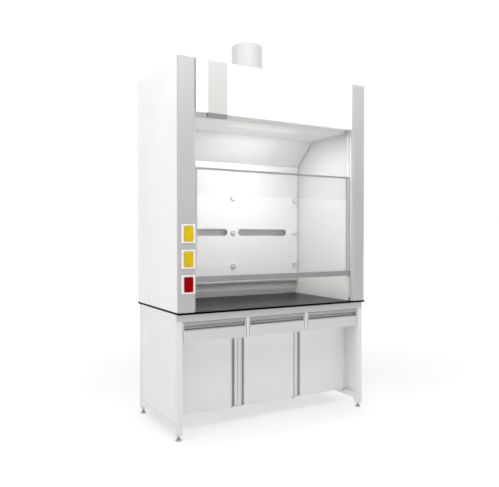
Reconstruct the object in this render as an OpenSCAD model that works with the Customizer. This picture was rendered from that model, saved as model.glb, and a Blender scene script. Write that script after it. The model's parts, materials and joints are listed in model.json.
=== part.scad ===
// Free-standing bench fume hood on a tubular base, with a counterweighted vertical sash.
// Millimetres, +Z up, front towards -Y. The origin lies on the floor under the middle of the outline.
// Most depths are counted backwards from the front face of the casing, by the function at().

/* [Overall size] */
// Width over the worktop
hood_w = 1675; // [1600:5:1800]
// Depth over the worktop
hood_d = 840; // [830:5:900]
// Height of the working surface above the floor
worktop_z = 900; // [890:1:915]
// Height of the top of the casing
casing_top_z = 2677; // [2670:1:2740]
// Height of the rim of the duct collar
collar_top_z = 3010; // [2850:5:3100]

/* [Base frame] */
// Side of the square leg tube
leg = 44; // [40:1:46]
// Wall of the frame tubes
tube_t = 2; // [1.5:0.5:3]
// How far the reinforced leg ends stand proud of the legs
stub_lip = 1.5; // [1:0.5:2]
// Setback of the frame behind the casing front
frame_setback = 33; // [28:1:40]
// Height of the leg ends above the floor
leg_z = 37; // [34:1:44]
// Underside of the lower rails
low_rail_z = 70; // [64:1:76]
// Height of the lower rails
low_rail_h = 44; // [40:1:46]
// Height of the top rails
top_rail_h = 50; // [46:1:52]
// Depth of the front and rear top rails
top_rail_d = 22; // [20:1:26]
// Thickness of the white infill panels
infill_t = 16; // [12:1:20]
// Radius of a levelling foot
foot_r = 21.5; // [18:0.5:23]
// Radius of a foot's threaded stem
stem_r = 5; // [4:0.5:6]

/* [Worktop] */
// Thickness of the worktop
worktop_t = 15; // [13:1:20]

/* [Cupboard and drawers] */
// Thickness of doors and drawer fronts
front_t = 20; // [18:1:22]
// Width of the recessed grip profiles
grip_w = 62; // [58:1:64]
// Thickness of the cupboard boards
board_t = 18; // [15:1:19]
// Setback of the door faces behind the casing front
door_setback = 198; // [180:1:220]
// Underside of the doors
door_z = 120; // [119:1:124]
// Top of the cupboard
cupboard_top_z = 680; // [672:1:682]
// Gap between neighbouring doors
door_gap = 3; // [2:0.5:4]
// Thickness of the uprights between the drawers
divider_t = 20; // [16:1:24]
// Bottom edge of the drawer fronts
drawer_z = 685; // [685:1:690]
// Depth of a drawer box
drawer_box_d = 420; // [380:10:460]

/* [Casing] */
// Width of a front post
post_w = 133.5; // [130:0.5:136]
// Depth of a front post
post_d = 90; // [84:1:100]
// Wall of the posts
post_t = 2; // [1.5:0.5:3]
// Radius of a post's outer front edge
post_r = 20; // [12:1:22]
// Width of the bevel on a post's inner front edge
bevel_w = 18; // [12:1:26]
// Depth of that bevel
bevel_d = 10; // [6:1:18]
// Sheet thickness of the outer panels
sheet_t = 1.5; // [1:0.5:2]
// Bottom edge of the white fascia
fascia_z = 2306; // [2300:1:2320]
// Setback of the fascia behind the post fronts
fascia_setback = 2; // [1.5:0.5:3]
// Width of the grey cladding strip on the fascia
strip_w = 152; // [100:1:180]
// Distance of that strip from the left post
strip_offset = 97; // [60:1:160]
// Radius of the duct collar
collar_r = 125; // [100:5:125]
// Distance of the duct's centre behind the casing front
collar_depth = 515; // [510:1:520]

/* [Work chamber] */
// Clear width between the side linings
chamber_w = 1400; // [1380:2:1404]
// Thickness of the linings and baffles
lining_t = 6; // [4:1:8]
// Underside of the ceiling
ceiling_z = 2285; // [2280:1:2290]
// Distance of the main baffle behind the casing front
baffle_depth = 767; // [750:1:770]
// Distance of the rear lining behind the casing front
rear_lining_depth = 823; // [815:1:825]
// Bottom and top of the main baffle
baffle_low_z = 1036; // [1030:1:1045]
baffle_high_z = 2074; // [2040:1:2090]
// Height of a long extraction slot
slot_h = 59; // [40:1:64]
// Length of a long extraction slot
slot_l = 505; // [400:5:520]
// Radius of a baffle knob
knob_r = 25; // [18:1:28]

/* [Sash] */
// Thickness of the sash frame
sash_t = 14; // [12:1:15]
// Bottom edge of the sash at rest
sash_low_z = 1107; // [1100:1:1120]
// Top edge of the sash at rest
sash_high_z = 1921; // [1916:1:1925]
// Height of the handle rail
handle_h = 39; // [30:1:44]
// How far the sash can be raised and lowered from rest
sash_up = 500; // [400:10:500]
sash_down = 180; // [150:10:180]
// Thickness of the sliding and fixed glass
glass_t = 6; // [5:0.5:6]
// Lower edge of the fixed upper pane
pane_low_z = 1730; // [1700:1:1731]
// Pitch radius of the rope pulleys
pulley_r = 80; // [70:1:82]
// Radius of the steel rope
rope_r = 2; // [1.5:0.5:2]
// Height of a counterweight
weight_h = 180; // [120:1:240]

/* [Socket outlets] */
// Width and height of a socket's white frame
socket_w = 103; // [100:1:106]
socket_h = 132; // [130:1:138]
// Width and height of its coloured lid
lid_w = 66; // [60:1:68]
lid_h = 102; // [96:1:104]

/* [Hidden] */
$fn = 48;

// Small gaps
seat_gap = 0.3;
through = 1;

// Colours
white = "#f2f2f0";
steel_white = "#ecedec";
post_grey = "#c4c6c6";
frame_grey = "#d8dad9";
strip_grey = "#d2d3d1";
aluminium = "#a9acad";
zinc = "#8f9294";
near_black = "#26282b";
rubber_black = "#1c1c1c";
lid_yellow = "#e0c000";
lid_red = "#a00000";
glass_tint = [0.85, 0.92, 0.92, 0.35];

// Outline: the socket lids stand proud in front, the cover screws behind
front_proud = 14;
rear_proud = 2;
half_w = hood_w / 2;
front_y = -hood_d / 2 + (front_proud - rear_proud) / 2;
rear_y = front_y + hood_d;
top_z = casing_top_z - sheet_t;

// Base frame
frame_front_y = front_y + frame_setback;
frame_rear_y = rear_y - frame_setback;
leg_out_x = half_w - stub_lip;
leg_in_x = leg_out_x - leg;
leg_x = (leg_in_x + leg_out_x) / 2;
leg_ys = [frame_front_y + leg / 2, frame_rear_y - leg / 2];
low_rail_top_z = low_rail_z + low_rail_h;
frame_top_z = worktop_z - worktop_t;
top_rail_z = frame_top_z - top_rail_h;
leg_plate_t = 8;
infill_recess = 3;
infill_in_x = leg_out_x - infill_recess - infill_t;
stem_clear = 0.1;

// Cupboard
carcass_x = leg_in_x;
carcass_z = door_z - 4;
carcass_front_y = front_y + door_setback + front_t + 2;
carcass_rear_y = frame_rear_y - leg - 4;
back_t = 6;
shelf_z = (carcass_z + cupboard_top_z) / 2 - board_t / 2;
shelf_setback = 40;
door_top_z = cupboard_top_z - 4;
door_span = 2 * (leg_in_x - 3);
door_w = door_span / 3 - door_gap;
door_pitch = door_w + door_gap;
door_mid_y = front_y + door_setback + front_t / 2;
pivot_r = 4;
pivot_clear = 0.06;
pivot_l = 20;
pivot_plate_t = 3;
pivot_plate_w = 24;
pivot_plate_reach = 30;
edge_r = front_t / 2;

// Drawers
end_plate_t = 3;
bay_limit_x = leg_in_x - end_plate_t;
bay_w = (2 * bay_limit_x - 2 * divider_t) / 3;
drawer_pitch = bay_w + divider_t;
drawer_front_w = bay_w - 10;
drawer_front_y = frame_front_y + 2;
drawer_box_y = drawer_front_y + front_t;
drawer_front_top_z = top_rail_z - 8;
grip_z = drawer_front_top_z - grip_w;
divider_rear_y = front_y + 540;
runner_z = drawer_z + 67;
runner_h = 11;
runner_t = 2;
runner_reach = 11;
box_side_gap = 14;
runner_end_gap = 4;
slide_clear = 0.5;
lip_front_gap = 5;
box_wall = 1.5;
box_z = drawer_z + 8;
box_h = 106;
lip_h = 6;

// Casing
post_in_x = half_w - post_w;
socket_x = -(post_in_x + post_w / 2 - 8);
socket_zs = [worktop_z + 550.5, worktop_z + 372.5, worktop_z + 196.5];
flange_w = 25;
screw_rows = 6;
screw_end = 60;
screw_r = 2;
screw_clear = 0.3;
screw_x = half_w - sheet_t - flange_w / 2;
fascia_lip_depth = 31;
fascia_lip_h = 24;
fascia_x = post_in_x - 1;
strip_t = 2.5;
strip_x = -(post_in_x - strip_offset);
collar_y = front_y + collar_depth;

// Chamber
lining_x = chamber_w / 2;
lining_front = 78;
header_front = 51;
header_rear = 92;
header_top_z = fascia_z + 34;
header_groove_wall = 4;
upper_baffle_top = 533;
upper_baffle_t = 8;
lower_baffle_z = worktop_z + 1;
baffle_x = lining_x - 9;
slot_z = 1466.5;
slot_inner_x = 55;
low_slot_z = [worktop_z + 57, worktop_z + 121];
low_slot_x = 680;
knob_x = 650;
knob_zs = [1176, slot_z, 1766];
knob_stem_r = 6;
stem_hole_clear = 0.5;
lamp_x = 330;
lamp_depths = [180, 300];
lamp_h = 60;
lamp_flange = 15;
plenum_front = 360;
plenum_h = 149;
plenum_wall = 4;
plenum_z = ceiling_z + lining_t + seat_gap;
collar_z = plenum_z + plenum_h + seat_gap;
collar_wall = 1.5;
collar_flange_r = collar_r + 25;
collar_flange_t = 2;
neck_r = collar_r - 1;
neck_rise = 5;
roof_clear = 1.5;

// Sash and its suspension
sash_depth = 41;
guide_depths = [23, 77];
guide_w = 68;
guide_back = 3;
sash_channel = 22;
guide_top_z = 2480;
pane_depth = 64;
pane_channel = glass_t + 2 * seat_gap;
pane_channel_w = 14;
pane_edge_x = post_in_x + 12;
stile_in_x = post_in_x - 24;
stile_out_x = post_in_x + 18;
rope_x = post_in_x + 51;
lug_x = rope_x + 10;
lug_h = 36;
ferrule_r = 5;
ferrule_h = 8;
sash_rail_h = 14;
glass_edge_gap = 1;
pane_groove_gap = 1;
glass_bite = 8;
handle_x = post_in_x - 4;
handle_front = 17;
glide_h = 40;
glide_clear = 0.3;
stop_gap = 0.5;
pulley_z = top_z - 100.5;
pulley_y = front_y + sash_depth + pulley_r;
pulley_flange_r = pulley_r + 6;
pulley_half_w = 7;
groove_gap = 0.3;
axle_r = 6;
axle_clear = 0.05;
weight_top_z = 2200;
weight_x = [rope_x - 40, rope_x + 40];
weight_half_d = 45;
rear_rope_y = pulley_y + pulley_r;

// Sockets
bezel_t = 8;
lid_t = 5;
lid_axis = 10.5;
knuckle_r = 3.2;
lid_left_x = socket_x - lid_w / 2;
lid_axis_x = lid_left_x + knuckle_r;
lid_pin_r = 1.5;
lid_pin_l = 6;
lid_pin_clear = 0.06;
lid_rest = 5;
lid_edge_gap = 1;
ear_gap = 0.4;
ear_h = 5;
insert_depth = 20;
well_r = 19.5;
well_d = 14;
contact_r = 2.6;
contact_half_pitch = 9.5;

// Position of a depth counted from the casing front
function at(depth) = front_y + depth;

// Rectangular bar between two positions on each axis
module bar(x, y, z) {
  translate([x[0], y[0], z[0]])
    cube([x[1] - x[0], y[1] - y[0], z[1] - z[0]]);
}

// Section drawn as [y, z] and run along X
module run_x(x0, x1) {
  translate([x0, 0, 0]) rotate([90, 0, 90]) linear_extrude(x1 - x0) children();
}

// The same piece on the right and, mirrored, on the left
module both_sides() {
  children();
  mirror([1, 0, 0]) children();
}

// Cylinder along Y from depth y0 to y1
module pin_y(r, x, z, y0, y1) {
  translate([x, y0, z]) rotate([-90, 0, 0]) cylinder(r = r, h = y1 - y0);
}

// Long slot with round ends through a board, along Y
module slot_y(x0, x1, z0, z1, y0, y1) {
  r = (z1 - z0) / 2;
  bar([x0 + r, x1 - r], [y0, y1], [z0, z1]);
  for (x = [x0 + r, x1 - r]) pin_y(r, x, z0 + r, y0, y1);
}

// ---------- Base frame ----------

module side_frame() {
  difference() {
    union() {
      for (y = leg_ys) {
        bar([leg_in_x, leg_out_x], [y - leg / 2, y + leg / 2], [leg_z, top_rail_z]);
        translate([leg_x, y, leg_z]) leg_stub();
      }
      bar([leg_in_x, leg_out_x], leg_ys, [low_rail_z, low_rail_top_z]);
      bar([leg_in_x, leg_out_x], [frame_front_y + top_rail_d, frame_rear_y - top_rail_d],
          [top_rail_z - through, frame_top_z]);
    }
    side_frame_bore();
  }
}

// Thickened end of a leg, chamfered at its foot
module leg_stub() {
  half = leg / 2 + stub_lip;
  chamfer = 4;
  translate([-half, -half, chamfer]) cube([2 * half, 2 * half, low_rail_top_z - leg_z - chamfer]);
  translate([-half + stub_lip, -half + stub_lip, 0]) cube([leg, leg, chamfer + through]);
}

// Hollow inside the tubes, open at the top of the legs and around the stems
module side_frame_bore() {
  for (y = leg_ys) {
    bar([leg_in_x + tube_t, leg_out_x - tube_t],
        [y - leg / 2 + tube_t, y + leg / 2 - tube_t], [leg_z + leg_plate_t, top_rail_z + tube_t]);
    translate([leg_x, y, leg_z - through])
      cylinder(r = stem_r + stem_clear, h = leg_plate_t + 2 * through);
  }
  bar([leg_in_x + tube_t, leg_out_x - tube_t], leg_ys,
      [low_rail_z + tube_t, low_rail_top_z - tube_t]);
  bar([leg_in_x + tube_t, leg_out_x - tube_t],
      [frame_front_y + top_rail_d - through, frame_rear_y - top_rail_d + through],
      [top_rail_z + tube_t - through, frame_top_z - tube_t]);
}

module side_frames() {
  color(frame_grey) both_sides() side_frame();
}

// Closed rectangular tube with a drain hole in its underside
module top_rail(y) {
  difference() {
    bar([-leg_out_x, leg_out_x], [y, y + top_rail_d], [top_rail_z + seat_gap / 2, frame_top_z]);
    bar([-leg_out_x + tube_t, leg_out_x - tube_t], [y + tube_t, y + top_rail_d - tube_t],
        [top_rail_z + tube_t, frame_top_z - tube_t]);
    translate([0, y + top_rail_d / 2, top_rail_z - through]) cylinder(r = 4, h = 2 * tube_t);
  }
}

module cross_rails() {
  low_y = frame_rear_y - leg / 2;
  low_x = leg_in_x - stub_lip;
  color(frame_grey) {
    top_rail(frame_front_y);
    top_rail(frame_rear_y - top_rail_d);
    difference() {
      bar([-low_x, low_x], [low_y - top_rail_d / 2, low_y + top_rail_d / 2],
          [low_rail_z, low_rail_top_z]);
      bar([-half_w, half_w],
          [low_y - top_rail_d / 2 + tube_t, low_y + top_rail_d / 2 - tube_t],
          [low_rail_z + tube_t, low_rail_top_z - tube_t]);
    }
  }
}

// One foot with its stem, and its lock nut as a separate solid
module levelling_foot() {
  nut_h = 8;
  rim_h = 5;
  cone_h = 17;
  cylinder(r = foot_r, h = rim_h);
  translate([0, 0, rim_h]) cylinder(r1 = foot_r, r2 = stem_r + 3, h = cone_h);
  translate([0, 0, rim_h + cone_h]) cylinder(r = stem_r, h = leg_z + leg_plate_t);
  translate([0, 0, leg_z - nut_h - seat_gap]) difference() {
    cylinder(r = 2 * stem_r, h = nut_h, $fn = 6);
    translate([0, 0, -through]) cylinder(r = stem_r + stem_clear, h = nut_h + 2 * through);
  }
}

module levelling_feet() {
  color(zinc)
    for (x = [-leg_x, leg_x], y = leg_ys) translate([x, y, 0]) levelling_foot();
}

module base_side_panels() {
  color(white) both_sides()
    bar([infill_in_x, infill_in_x + infill_t],
        [leg_ys[0] + leg / 2 + seat_gap, leg_ys[1] - leg / 2 - seat_gap],
        [low_rail_top_z + seat_gap, top_rail_z - through - seat_gap]);
}

module worktop() {
  chamfer = 1.5;
  color(near_black) run_x(-half_w, half_w) polygon([
    [front_y, frame_top_z + chamfer], [front_y + chamfer, frame_top_z],
    [rear_y, frame_top_z], [rear_y, worktop_z],
    [front_y + chamfer, worktop_z], [front_y, worktop_z - chamfer]
  ]);
}

// ---------- Cupboard ----------

module cabinet_carcass() {
  board_rear_y = carcass_rear_y - back_t - seat_gap;
  inner_z = [carcass_z + board_t + seat_gap, cupboard_top_z - board_t - seat_gap];
  outer_x = carcass_x - board_t;
  middle_x = door_pitch / 2 - board_t / 2;
  color(white) {
    for (z = [carcass_z, cupboard_top_z - board_t])
      bar([-carcass_x, carcass_x], [carcass_front_y, board_rear_y], [z, z + board_t]);
    for (x = [-carcass_x, -middle_x - board_t, middle_x, outer_x])
      bar([x, x + board_t], [carcass_front_y, board_rear_y], inner_z);
    bar([-carcass_x, carcass_x], [carcass_rear_y - back_t, carcass_rear_y],
        [carcass_z, cupboard_top_z]);
    for (x = [[-outer_x, -middle_x - board_t], [-middle_x, middle_x],
              [middle_x + board_t, outer_x]])
      bar([x[0] + through, x[1] - through],
          [carcass_front_y + shelf_setback, board_rear_y - through],
          [shelf_z, shelf_z + board_t]);
    both_sides() bar([carcass_x + seat_gap, infill_in_x - seat_gap],
                     [door_mid_y, door_mid_y + board_t], [carcass_z, cupboard_top_z]);
  }
}

// Doors are numbered -1, 0 and 1 from the left; the left one hangs on its left edge
function hinge_side(i) = i < 0 ? -1 : 1;
function door_x(i) = i * door_pitch;
function hinge_x(i) = door_x(i) + hinge_side(i) * (door_w / 2 - edge_r);
function grip_x(i) = door_x(i) - hinge_side(i) * (door_w / 2 - grip_w / 2);

module door(i) {
  s = hinge_side(i);
  free_x = door_x(i) - s * (door_w / 2 - grip_w);
  color(white) difference() {
    union() {
      bar([min(hinge_x(i), free_x), max(hinge_x(i), free_x)],
          [door_mid_y - edge_r, door_mid_y + edge_r], [door_z, door_top_z]);
      translate([hinge_x(i), door_mid_y, door_z]) cylinder(r = edge_r, h = door_top_z - door_z);
    }
    for (z = [door_z - through, door_top_z - pivot_l - 2])
      translate([hinge_x(i), door_mid_y, z])
        cylinder(r = pivot_r + pivot_clear, h = pivot_l + 2 + through);
  }
}

// Plate under or over a door's end, with the pin and shoulder that carry it
module door_pivot(x, plate_z, door_end_z, up) {
  tip = up ? door_end_z : door_end_z - pivot_l;
  shoulder = [min(plate_z, door_end_z), max(plate_z, door_end_z)];
  bar([x - pivot_plate_w / 2, x + pivot_plate_w / 2],
      [door_mid_y - pivot_plate_w / 2, carcass_front_y + pivot_plate_reach],
      up ? [plate_z - pivot_plate_t, plate_z] : [plate_z, plate_z + pivot_plate_t]);
  translate([x, door_mid_y, tip - (up ? through : 0)])
    cylinder(r = pivot_r, h = pivot_l + through);
  translate([x, door_mid_y, shoulder[0] + (up ? 0 : seat_gap)])
    cylinder(r = 2 * pivot_r, h = shoulder[1] - shoulder[0] - seat_gap);
}

module door_pivots() {
  color(zinc) for (i = [-1:1]) {
    door_pivot(hinge_x(i), carcass_z - seat_gap, door_z, true);
    door_pivot(hinge_x(i), cupboard_top_z + seat_gap, door_top_z, false);
  }
}

// Channel section, [depth, height from the free edge], with its deep lip at the free edge
module grip_section() {
  wall = 2.5;
  lip = 2;
  edge_lip = 27;
  far_lip = 8;
  polygon([
    [0, 0], [front_t, 0], [front_t, grip_w], [0, grip_w], [0, grip_w - far_lip],
    [lip, grip_w - far_lip], [lip, grip_w - wall], [front_t - wall, grip_w - wall],
    [front_t - wall, wall], [lip, wall], [lip, edge_lip], [0, edge_lip]
  ]);
}

// Grip profile along X with closed ends
module grip(length) {
  cap = 6;
  run_x(-length / 2, length / 2) grip_section();
  for (x = [-length / 2, length / 2 - cap])
    bar([x, x + cap], [0, front_t], [0, grip_w]);
}

module door_handle(i) {
  s = hinge_side(i);
  color(aluminium)
    translate([grip_x(i) - s * grip_w / 2, door_mid_y - edge_r, (door_z + door_top_z) / 2])
      rotate([0, s * 90, 0]) grip(door_top_z - door_z);
}

// ---------- Drawers ----------

module drawer_dividers() {
  step_y = carcass_front_y + pivot_plate_reach + 1;
  color(frame_grey)
    for (x = [[-leg_in_x, -bay_limit_x], [-bay_w / 2 - divider_t, -bay_w / 2],
              [bay_w / 2, bay_w / 2 + divider_t], [bay_limit_x, leg_in_x]])
      run_x(x[0], x[1]) polygon([
        [frame_front_y + 1, drawer_z], [step_y, drawer_z],
        [step_y, cupboard_top_z + seat_gap],
        [divider_rear_y, cupboard_top_z + seat_gap],
        [divider_rear_y, top_rail_z], [frame_front_y + 1, top_rail_z]
      ]);
}

// Channel on the right-hand wall of a bay; the drawer's lip slides in it
module runner() {
  wall_x = bay_w / 2;
  inner_x = wall_x - runner_reach;
  y = [drawer_box_y + runner_end_gap, divider_rear_y - runner_end_gap];
  bar([wall_x - runner_t, wall_x], y, [runner_z, runner_z + runner_h]);
  for (z = [runner_z, runner_z + runner_h - runner_t])
    bar([inner_x, wall_x], y, [z, z + runner_t]);
}

module drawer_runners() {
  color(zinc) for (i = [-1:1]) translate([i * drawer_pitch, 0, 0]) both_sides() runner();
}

module drawer_box(i) {
  side_x = bay_w / 2 - box_side_gap;
  lip_x = bay_w / 2 - runner_t - slide_clear;
  lip_z = runner_z + runner_t + slide_clear;
  y = [drawer_box_y, drawer_box_y + drawer_box_d];
  color(steel_white) translate([i * drawer_pitch, 0, 0]) {
    difference() {
      bar([-side_x, side_x], y, [box_z, box_z + box_h]);
      bar([-side_x + box_wall, side_x - box_wall], [y[0] + box_wall, y[1] - box_wall],
          [box_z + box_wall, box_z + box_h + through]);
    }
    both_sides() bar([side_x - through, lip_x], [y[0] + lip_front_gap, y[1]],
                     [lip_z, lip_z + lip_h]);
  }
}

module drawer_front(i) {
  chamfer = 1;
  y = drawer_front_y;
  color(white) translate([i * drawer_pitch, 0, 0])
    run_x(-drawer_front_w / 2, drawer_front_w / 2) polygon([
      [y + chamfer, drawer_z], [y + front_t, drawer_z], [y + front_t, grip_z],
      [y, grip_z], [y, drawer_z + chamfer]
    ]);
}

module drawer_handle(i) {
  color(aluminium)
    translate([i * drawer_pitch, drawer_front_y, drawer_front_top_z])
      mirror([0, 0, 1]) grip(drawer_front_w);
}

// ---------- Casing ----------

// Plan of the right post: X outwards from its inner edge, Y backwards from its front
module post_shape(inset) {
  r = post_r - inset;
  difference() {
    union() {
      translate([inset, inset]) square([post_w - 2 * inset - r, post_d - inset]);
      translate([inset, post_r]) square([post_w - 2 * inset, post_d - post_r]);
      translate([post_w - post_r, post_r]) circle(r);
    }
    polygon([
      [-through, -through], [bevel_w + inset, -through], [bevel_w + inset, inset],
      [inset, bevel_d + inset], [-through, bevel_d + inset]
    ]);
  }
}

module post_section() {
  difference() {
    post_shape(0);
    intersection() {
      post_shape(post_t);
      square([post_w - sheet_t - post_t, post_d]);
    }
    translate([post_t, post_d - 2 * through])
      square([post_w - 2 * post_t - sheet_t, 3 * through]);
    translate([post_w - sheet_t, post_r]) square([2 * sheet_t, post_d]);
    translate([-through, guide_depths[0] - seat_gap]) square([post_t + 2 * through, post_d]);
  }
}

module post() {
  translate([post_in_x, front_y, worktop_z]) linear_extrude(top_z - worktop_z) post_section();
}

module post_left() {
  cut_w = lid_w + 4;
  cut_h = lid_h + 4;
  color(post_grey) difference() {
    mirror([1, 0, 0]) post();
    for (z = socket_zs)
      bar([socket_x - cut_w / 2, socket_x + cut_w / 2], [front_y - 1, front_y + post_t + 1],
          [z - cut_h / 2, z + cut_h / 2]);
  }
}

module post_right() {
  color(post_grey) post();
}

function screw_z(row) =
  worktop_z + screw_end + row * (top_z - worktop_z - 2 * screw_end) / (screw_rows - 1);

module screw_holes() {
  for (x = [-screw_x, screw_x], row = [0:screw_rows - 1])
    pin_y(screw_r + screw_clear, x, screw_z(row), rear_y - 10, rear_y + 10);
}

// Outer side panels, each folded inwards at the rear
module side_panels() {
  color(white) difference() {
    both_sides() translate([0, 0, worktop_z]) linear_extrude(top_z - worktop_z) {
      translate([half_w - sheet_t, front_y + post_r])
        square([sheet_t, hood_d - post_r]);
      translate([half_w - sheet_t - flange_w, rear_y - 2 * sheet_t - seat_gap])
        square([flange_w + through, sheet_t]);
    }
    screw_holes();
  }
}

module rear_cover() {
  color(white) difference() {
    bar([-half_w + sheet_t + seat_gap, half_w - sheet_t - seat_gap], [rear_y - sheet_t, rear_y],
        [worktop_z, top_z]);
    screw_holes();
  }
}

module cover_screws() {
  head_r = 4.5;
  color(zinc) for (x = [-screw_x, screw_x], row = [0:screw_rows - 1]) {
    pin_y(screw_r, x, screw_z(row), rear_y - 8, rear_y + through);
    translate([x, rear_y, screw_z(row)]) rotate([-90, 0, 0])
      cylinder(r1 = head_r, r2 = head_r - 1.5, h = rear_proud);
  }
}

module top_cover() {
  color(white) difference() {
    translate([0, 0, top_z]) linear_extrude(sheet_t) {
      translate([-half_w, front_y + post_r]) square([hood_w, hood_d - post_r]);
      translate([-half_w + post_r, front_y]) square([hood_w - 2 * post_r, hood_d]);
      for (x = [-half_w + post_r, half_w - post_r])
        translate([x, front_y + post_r]) circle(post_r);
    }
    translate([0, collar_y, top_z - through]) cylinder(r = collar_r + roof_clear, h = 4 * through);
  }
}

// Folded front panel with a turned-up lip in front of the sash
module fascia() {
  f = fascia_setback;
  t = sheet_t;
  rear = fascia_lip_depth;
  top_flange = 25;
  color(white) translate([0, front_y, 0]) run_x(-fascia_x, fascia_x) polygon([
    [f, fascia_z], [rear, fascia_z], [rear, fascia_z + fascia_lip_h],
    [rear - t, fascia_z + fascia_lip_h], [rear - t, fascia_z + t], [f + t, fascia_z + t],
    [f + t, top_z - t], [top_flange, top_z - t], [top_flange, top_z], [f, top_z]
  ]);
}

// Grey cladding that ends in a sloping nose under the fascia
module fascia_strip() {
  front = fascia_setback - strip_t;
  nose_h = 28;
  nose_slope = 5;
  color(strip_grey) translate([0, front_y, 0]) run_x(strip_x, strip_x + strip_w) polygon([
    [front, fascia_z], [front + nose_slope, fascia_z - nose_h],
    [fascia_lip_depth, fascia_z - nose_h], [fascia_lip_depth, fascia_z - seat_gap],
    [fascia_setback, fascia_z - seat_gap], [fascia_setback, top_z], [front, top_z]
  ]);
}

// ---------- Work chamber ----------

module chamber_liners() {
  outer_x = lining_x + lining_t;
  z = [worktop_z, ceiling_z + lining_t];
  color(white) {
    both_sides()
      bar([lining_x, outer_x], [at(lining_front), at(rear_lining_depth) - seat_gap], z);
    bar([-outer_x, outer_x], [at(rear_lining_depth), at(rear_lining_depth + lining_t)], z);
  }
}

// Ceiling with a grooved header in front that holds the fixed pane
module ceiling_panel() {
  groove = [pane_depth - pane_channel / 2, pane_depth + pane_channel / 2];
  rear = upper_baffle_top + upper_baffle_t;
  groove_top_z = header_top_z - header_groove_wall;
  color(white) difference() {
    translate([0, front_y, 0]) run_x(-lining_x + seat_gap, lining_x - seat_gap) polygon([
      [header_front, fascia_z], [groove[0], fascia_z], [groove[0], groove_top_z],
      [groove[1], groove_top_z], [groove[1], fascia_z], [header_rear - lining_t, fascia_z],
      [header_rear - lining_t, ceiling_z], [rear, ceiling_z], [rear, ceiling_z + lining_t],
      [header_rear, ceiling_z + lining_t], [header_rear, header_top_z],
      [header_front, header_top_z]
    ]);
    bar([-lamp_x, lamp_x], [at(lamp_depths[0]), at(lamp_depths[1])],
        [ceiling_z - through, ceiling_z + lining_t + through]);
  }
}

module knob_spots() {
  for (x = [-knob_x, 0, knob_x], z = knob_zs) translate([x, 0, z]) children();
}

module main_baffle() {
  y = [at(baffle_depth), at(baffle_depth + lining_t)];
  cut = [y[0] - through, y[1] + through];
  difference() {
    bar([-baffle_x, baffle_x], y, [baffle_low_z, baffle_high_z]);
    both_sides() slot_y(slot_inner_x, slot_inner_x + slot_l,
                        slot_z - slot_h / 2, slot_z + slot_h / 2, cut[0], cut[1]);
    knob_spots() pin_y(knob_stem_r + stem_hole_clear, 0, 0, cut[0], cut[1]);
  }
}

// Leans back to the rear lining just above the worktop
module lower_baffle() {
  foot = rear_lining_depth - 1;
  difference() {
    translate([0, front_y, 0]) run_x(-baffle_x, baffle_x) polygon([
      [baffle_depth, baffle_low_z - seat_gap], [foot - lining_t, lower_baffle_z],
      [foot, lower_baffle_z], [baffle_depth + lining_t, baffle_low_z - seat_gap]
    ]);
    bar([-low_slot_x, low_slot_x], [at(baffle_depth) - through, at(foot)], low_slot_z);
  }
}

// Leans forward from the main baffle to the ceiling
module upper_baffle() {
  translate([0, front_y, 0]) run_x(-baffle_x, baffle_x) polygon([
    [baffle_depth, baffle_high_z + seat_gap],
    [baffle_depth + upper_baffle_t, baffle_high_z + seat_gap],
    [upper_baffle_top + upper_baffle_t, ceiling_z - seat_gap],
    [upper_baffle_top, ceiling_z - seat_gap]
  ]);
}

module baffles() {
  color(white) {
    main_baffle();
    lower_baffle();
    upper_baffle();
  }
}

// Knob with its stem and the spacer that holds the baffle off the rear lining
module baffle_knob() {
  face = baffle_depth - seat_gap;
  rear = baffle_depth + lining_t;
  rim = 6;
  dome = 10;
  taper = 6;
  spacer_wall = 4;
  spacer_bite = 1;
  pin_y(knob_r, 0, 0, at(face - rim), at(face));
  translate([0, at(face - rim), 0]) rotate([90, 0, 0])
    cylinder(r1 = knob_r, r2 = knob_r - taper, h = dome);
  pin_y(knob_stem_r, 0, 0, at(face - through), at(rear + spacer_bite));
  pin_y(knob_stem_r + spacer_wall, 0, 0, at(rear + seat_gap), at(rear_lining_depth) - seat_gap);
}

module baffle_knobs() {
  color(white) knob_spots() baffle_knob();
}

module lamp_housing() {
  z0 = ceiling_z + lining_t + seat_gap;
  x = lamp_x + lamp_flange;
  y = [at(lamp_depths[0] - lamp_flange), at(lamp_depths[1] + lamp_flange)];
  t = sheet_t;
  color(steel_white) difference() {
    bar([-x, x], y, [z0, z0 + lamp_h]);
    bar([-x + t, x - t], [y[0] + t, y[1] - t], [z0 - through, z0 + lamp_h - t]);
  }
}

// Diffuser hanging in the ceiling's opening by a rim that lies on its edge
module lamp_lens() {
  gap = 1;
  rim = 8;
  rim_t = 2;
  rim_z = ceiling_z + lining_t;
  color("white") {
    bar([-lamp_x + gap, lamp_x - gap], [at(lamp_depths[0] + gap), at(lamp_depths[1] - gap)],
        [ceiling_z + gap, rim_z + rim_t]);
    bar([-lamp_x - rim, lamp_x + rim], [at(lamp_depths[0] - rim), at(lamp_depths[1] + rim)],
        [rim_z, rim_z + rim_t]);
  }
}

// Box over the rear of the chamber, open below, that gathers the air under the duct
module exhaust_plenum() {
  x = lining_x + lining_t;
  y = [at(plenum_front), at(rear_lining_depth + lining_t)];
  w = plenum_wall;
  color(white) difference() {
    bar([-x, x], y, [plenum_z, plenum_z + plenum_h]);
    bar([-x + w, x - w], [y[0] + w, y[1] - w], [plenum_z - through, plenum_z + plenum_h - w]);
    translate([0, collar_y, plenum_z]) cylinder(r = neck_r - collar_wall, h = 2 * plenum_h);
  }
}

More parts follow.
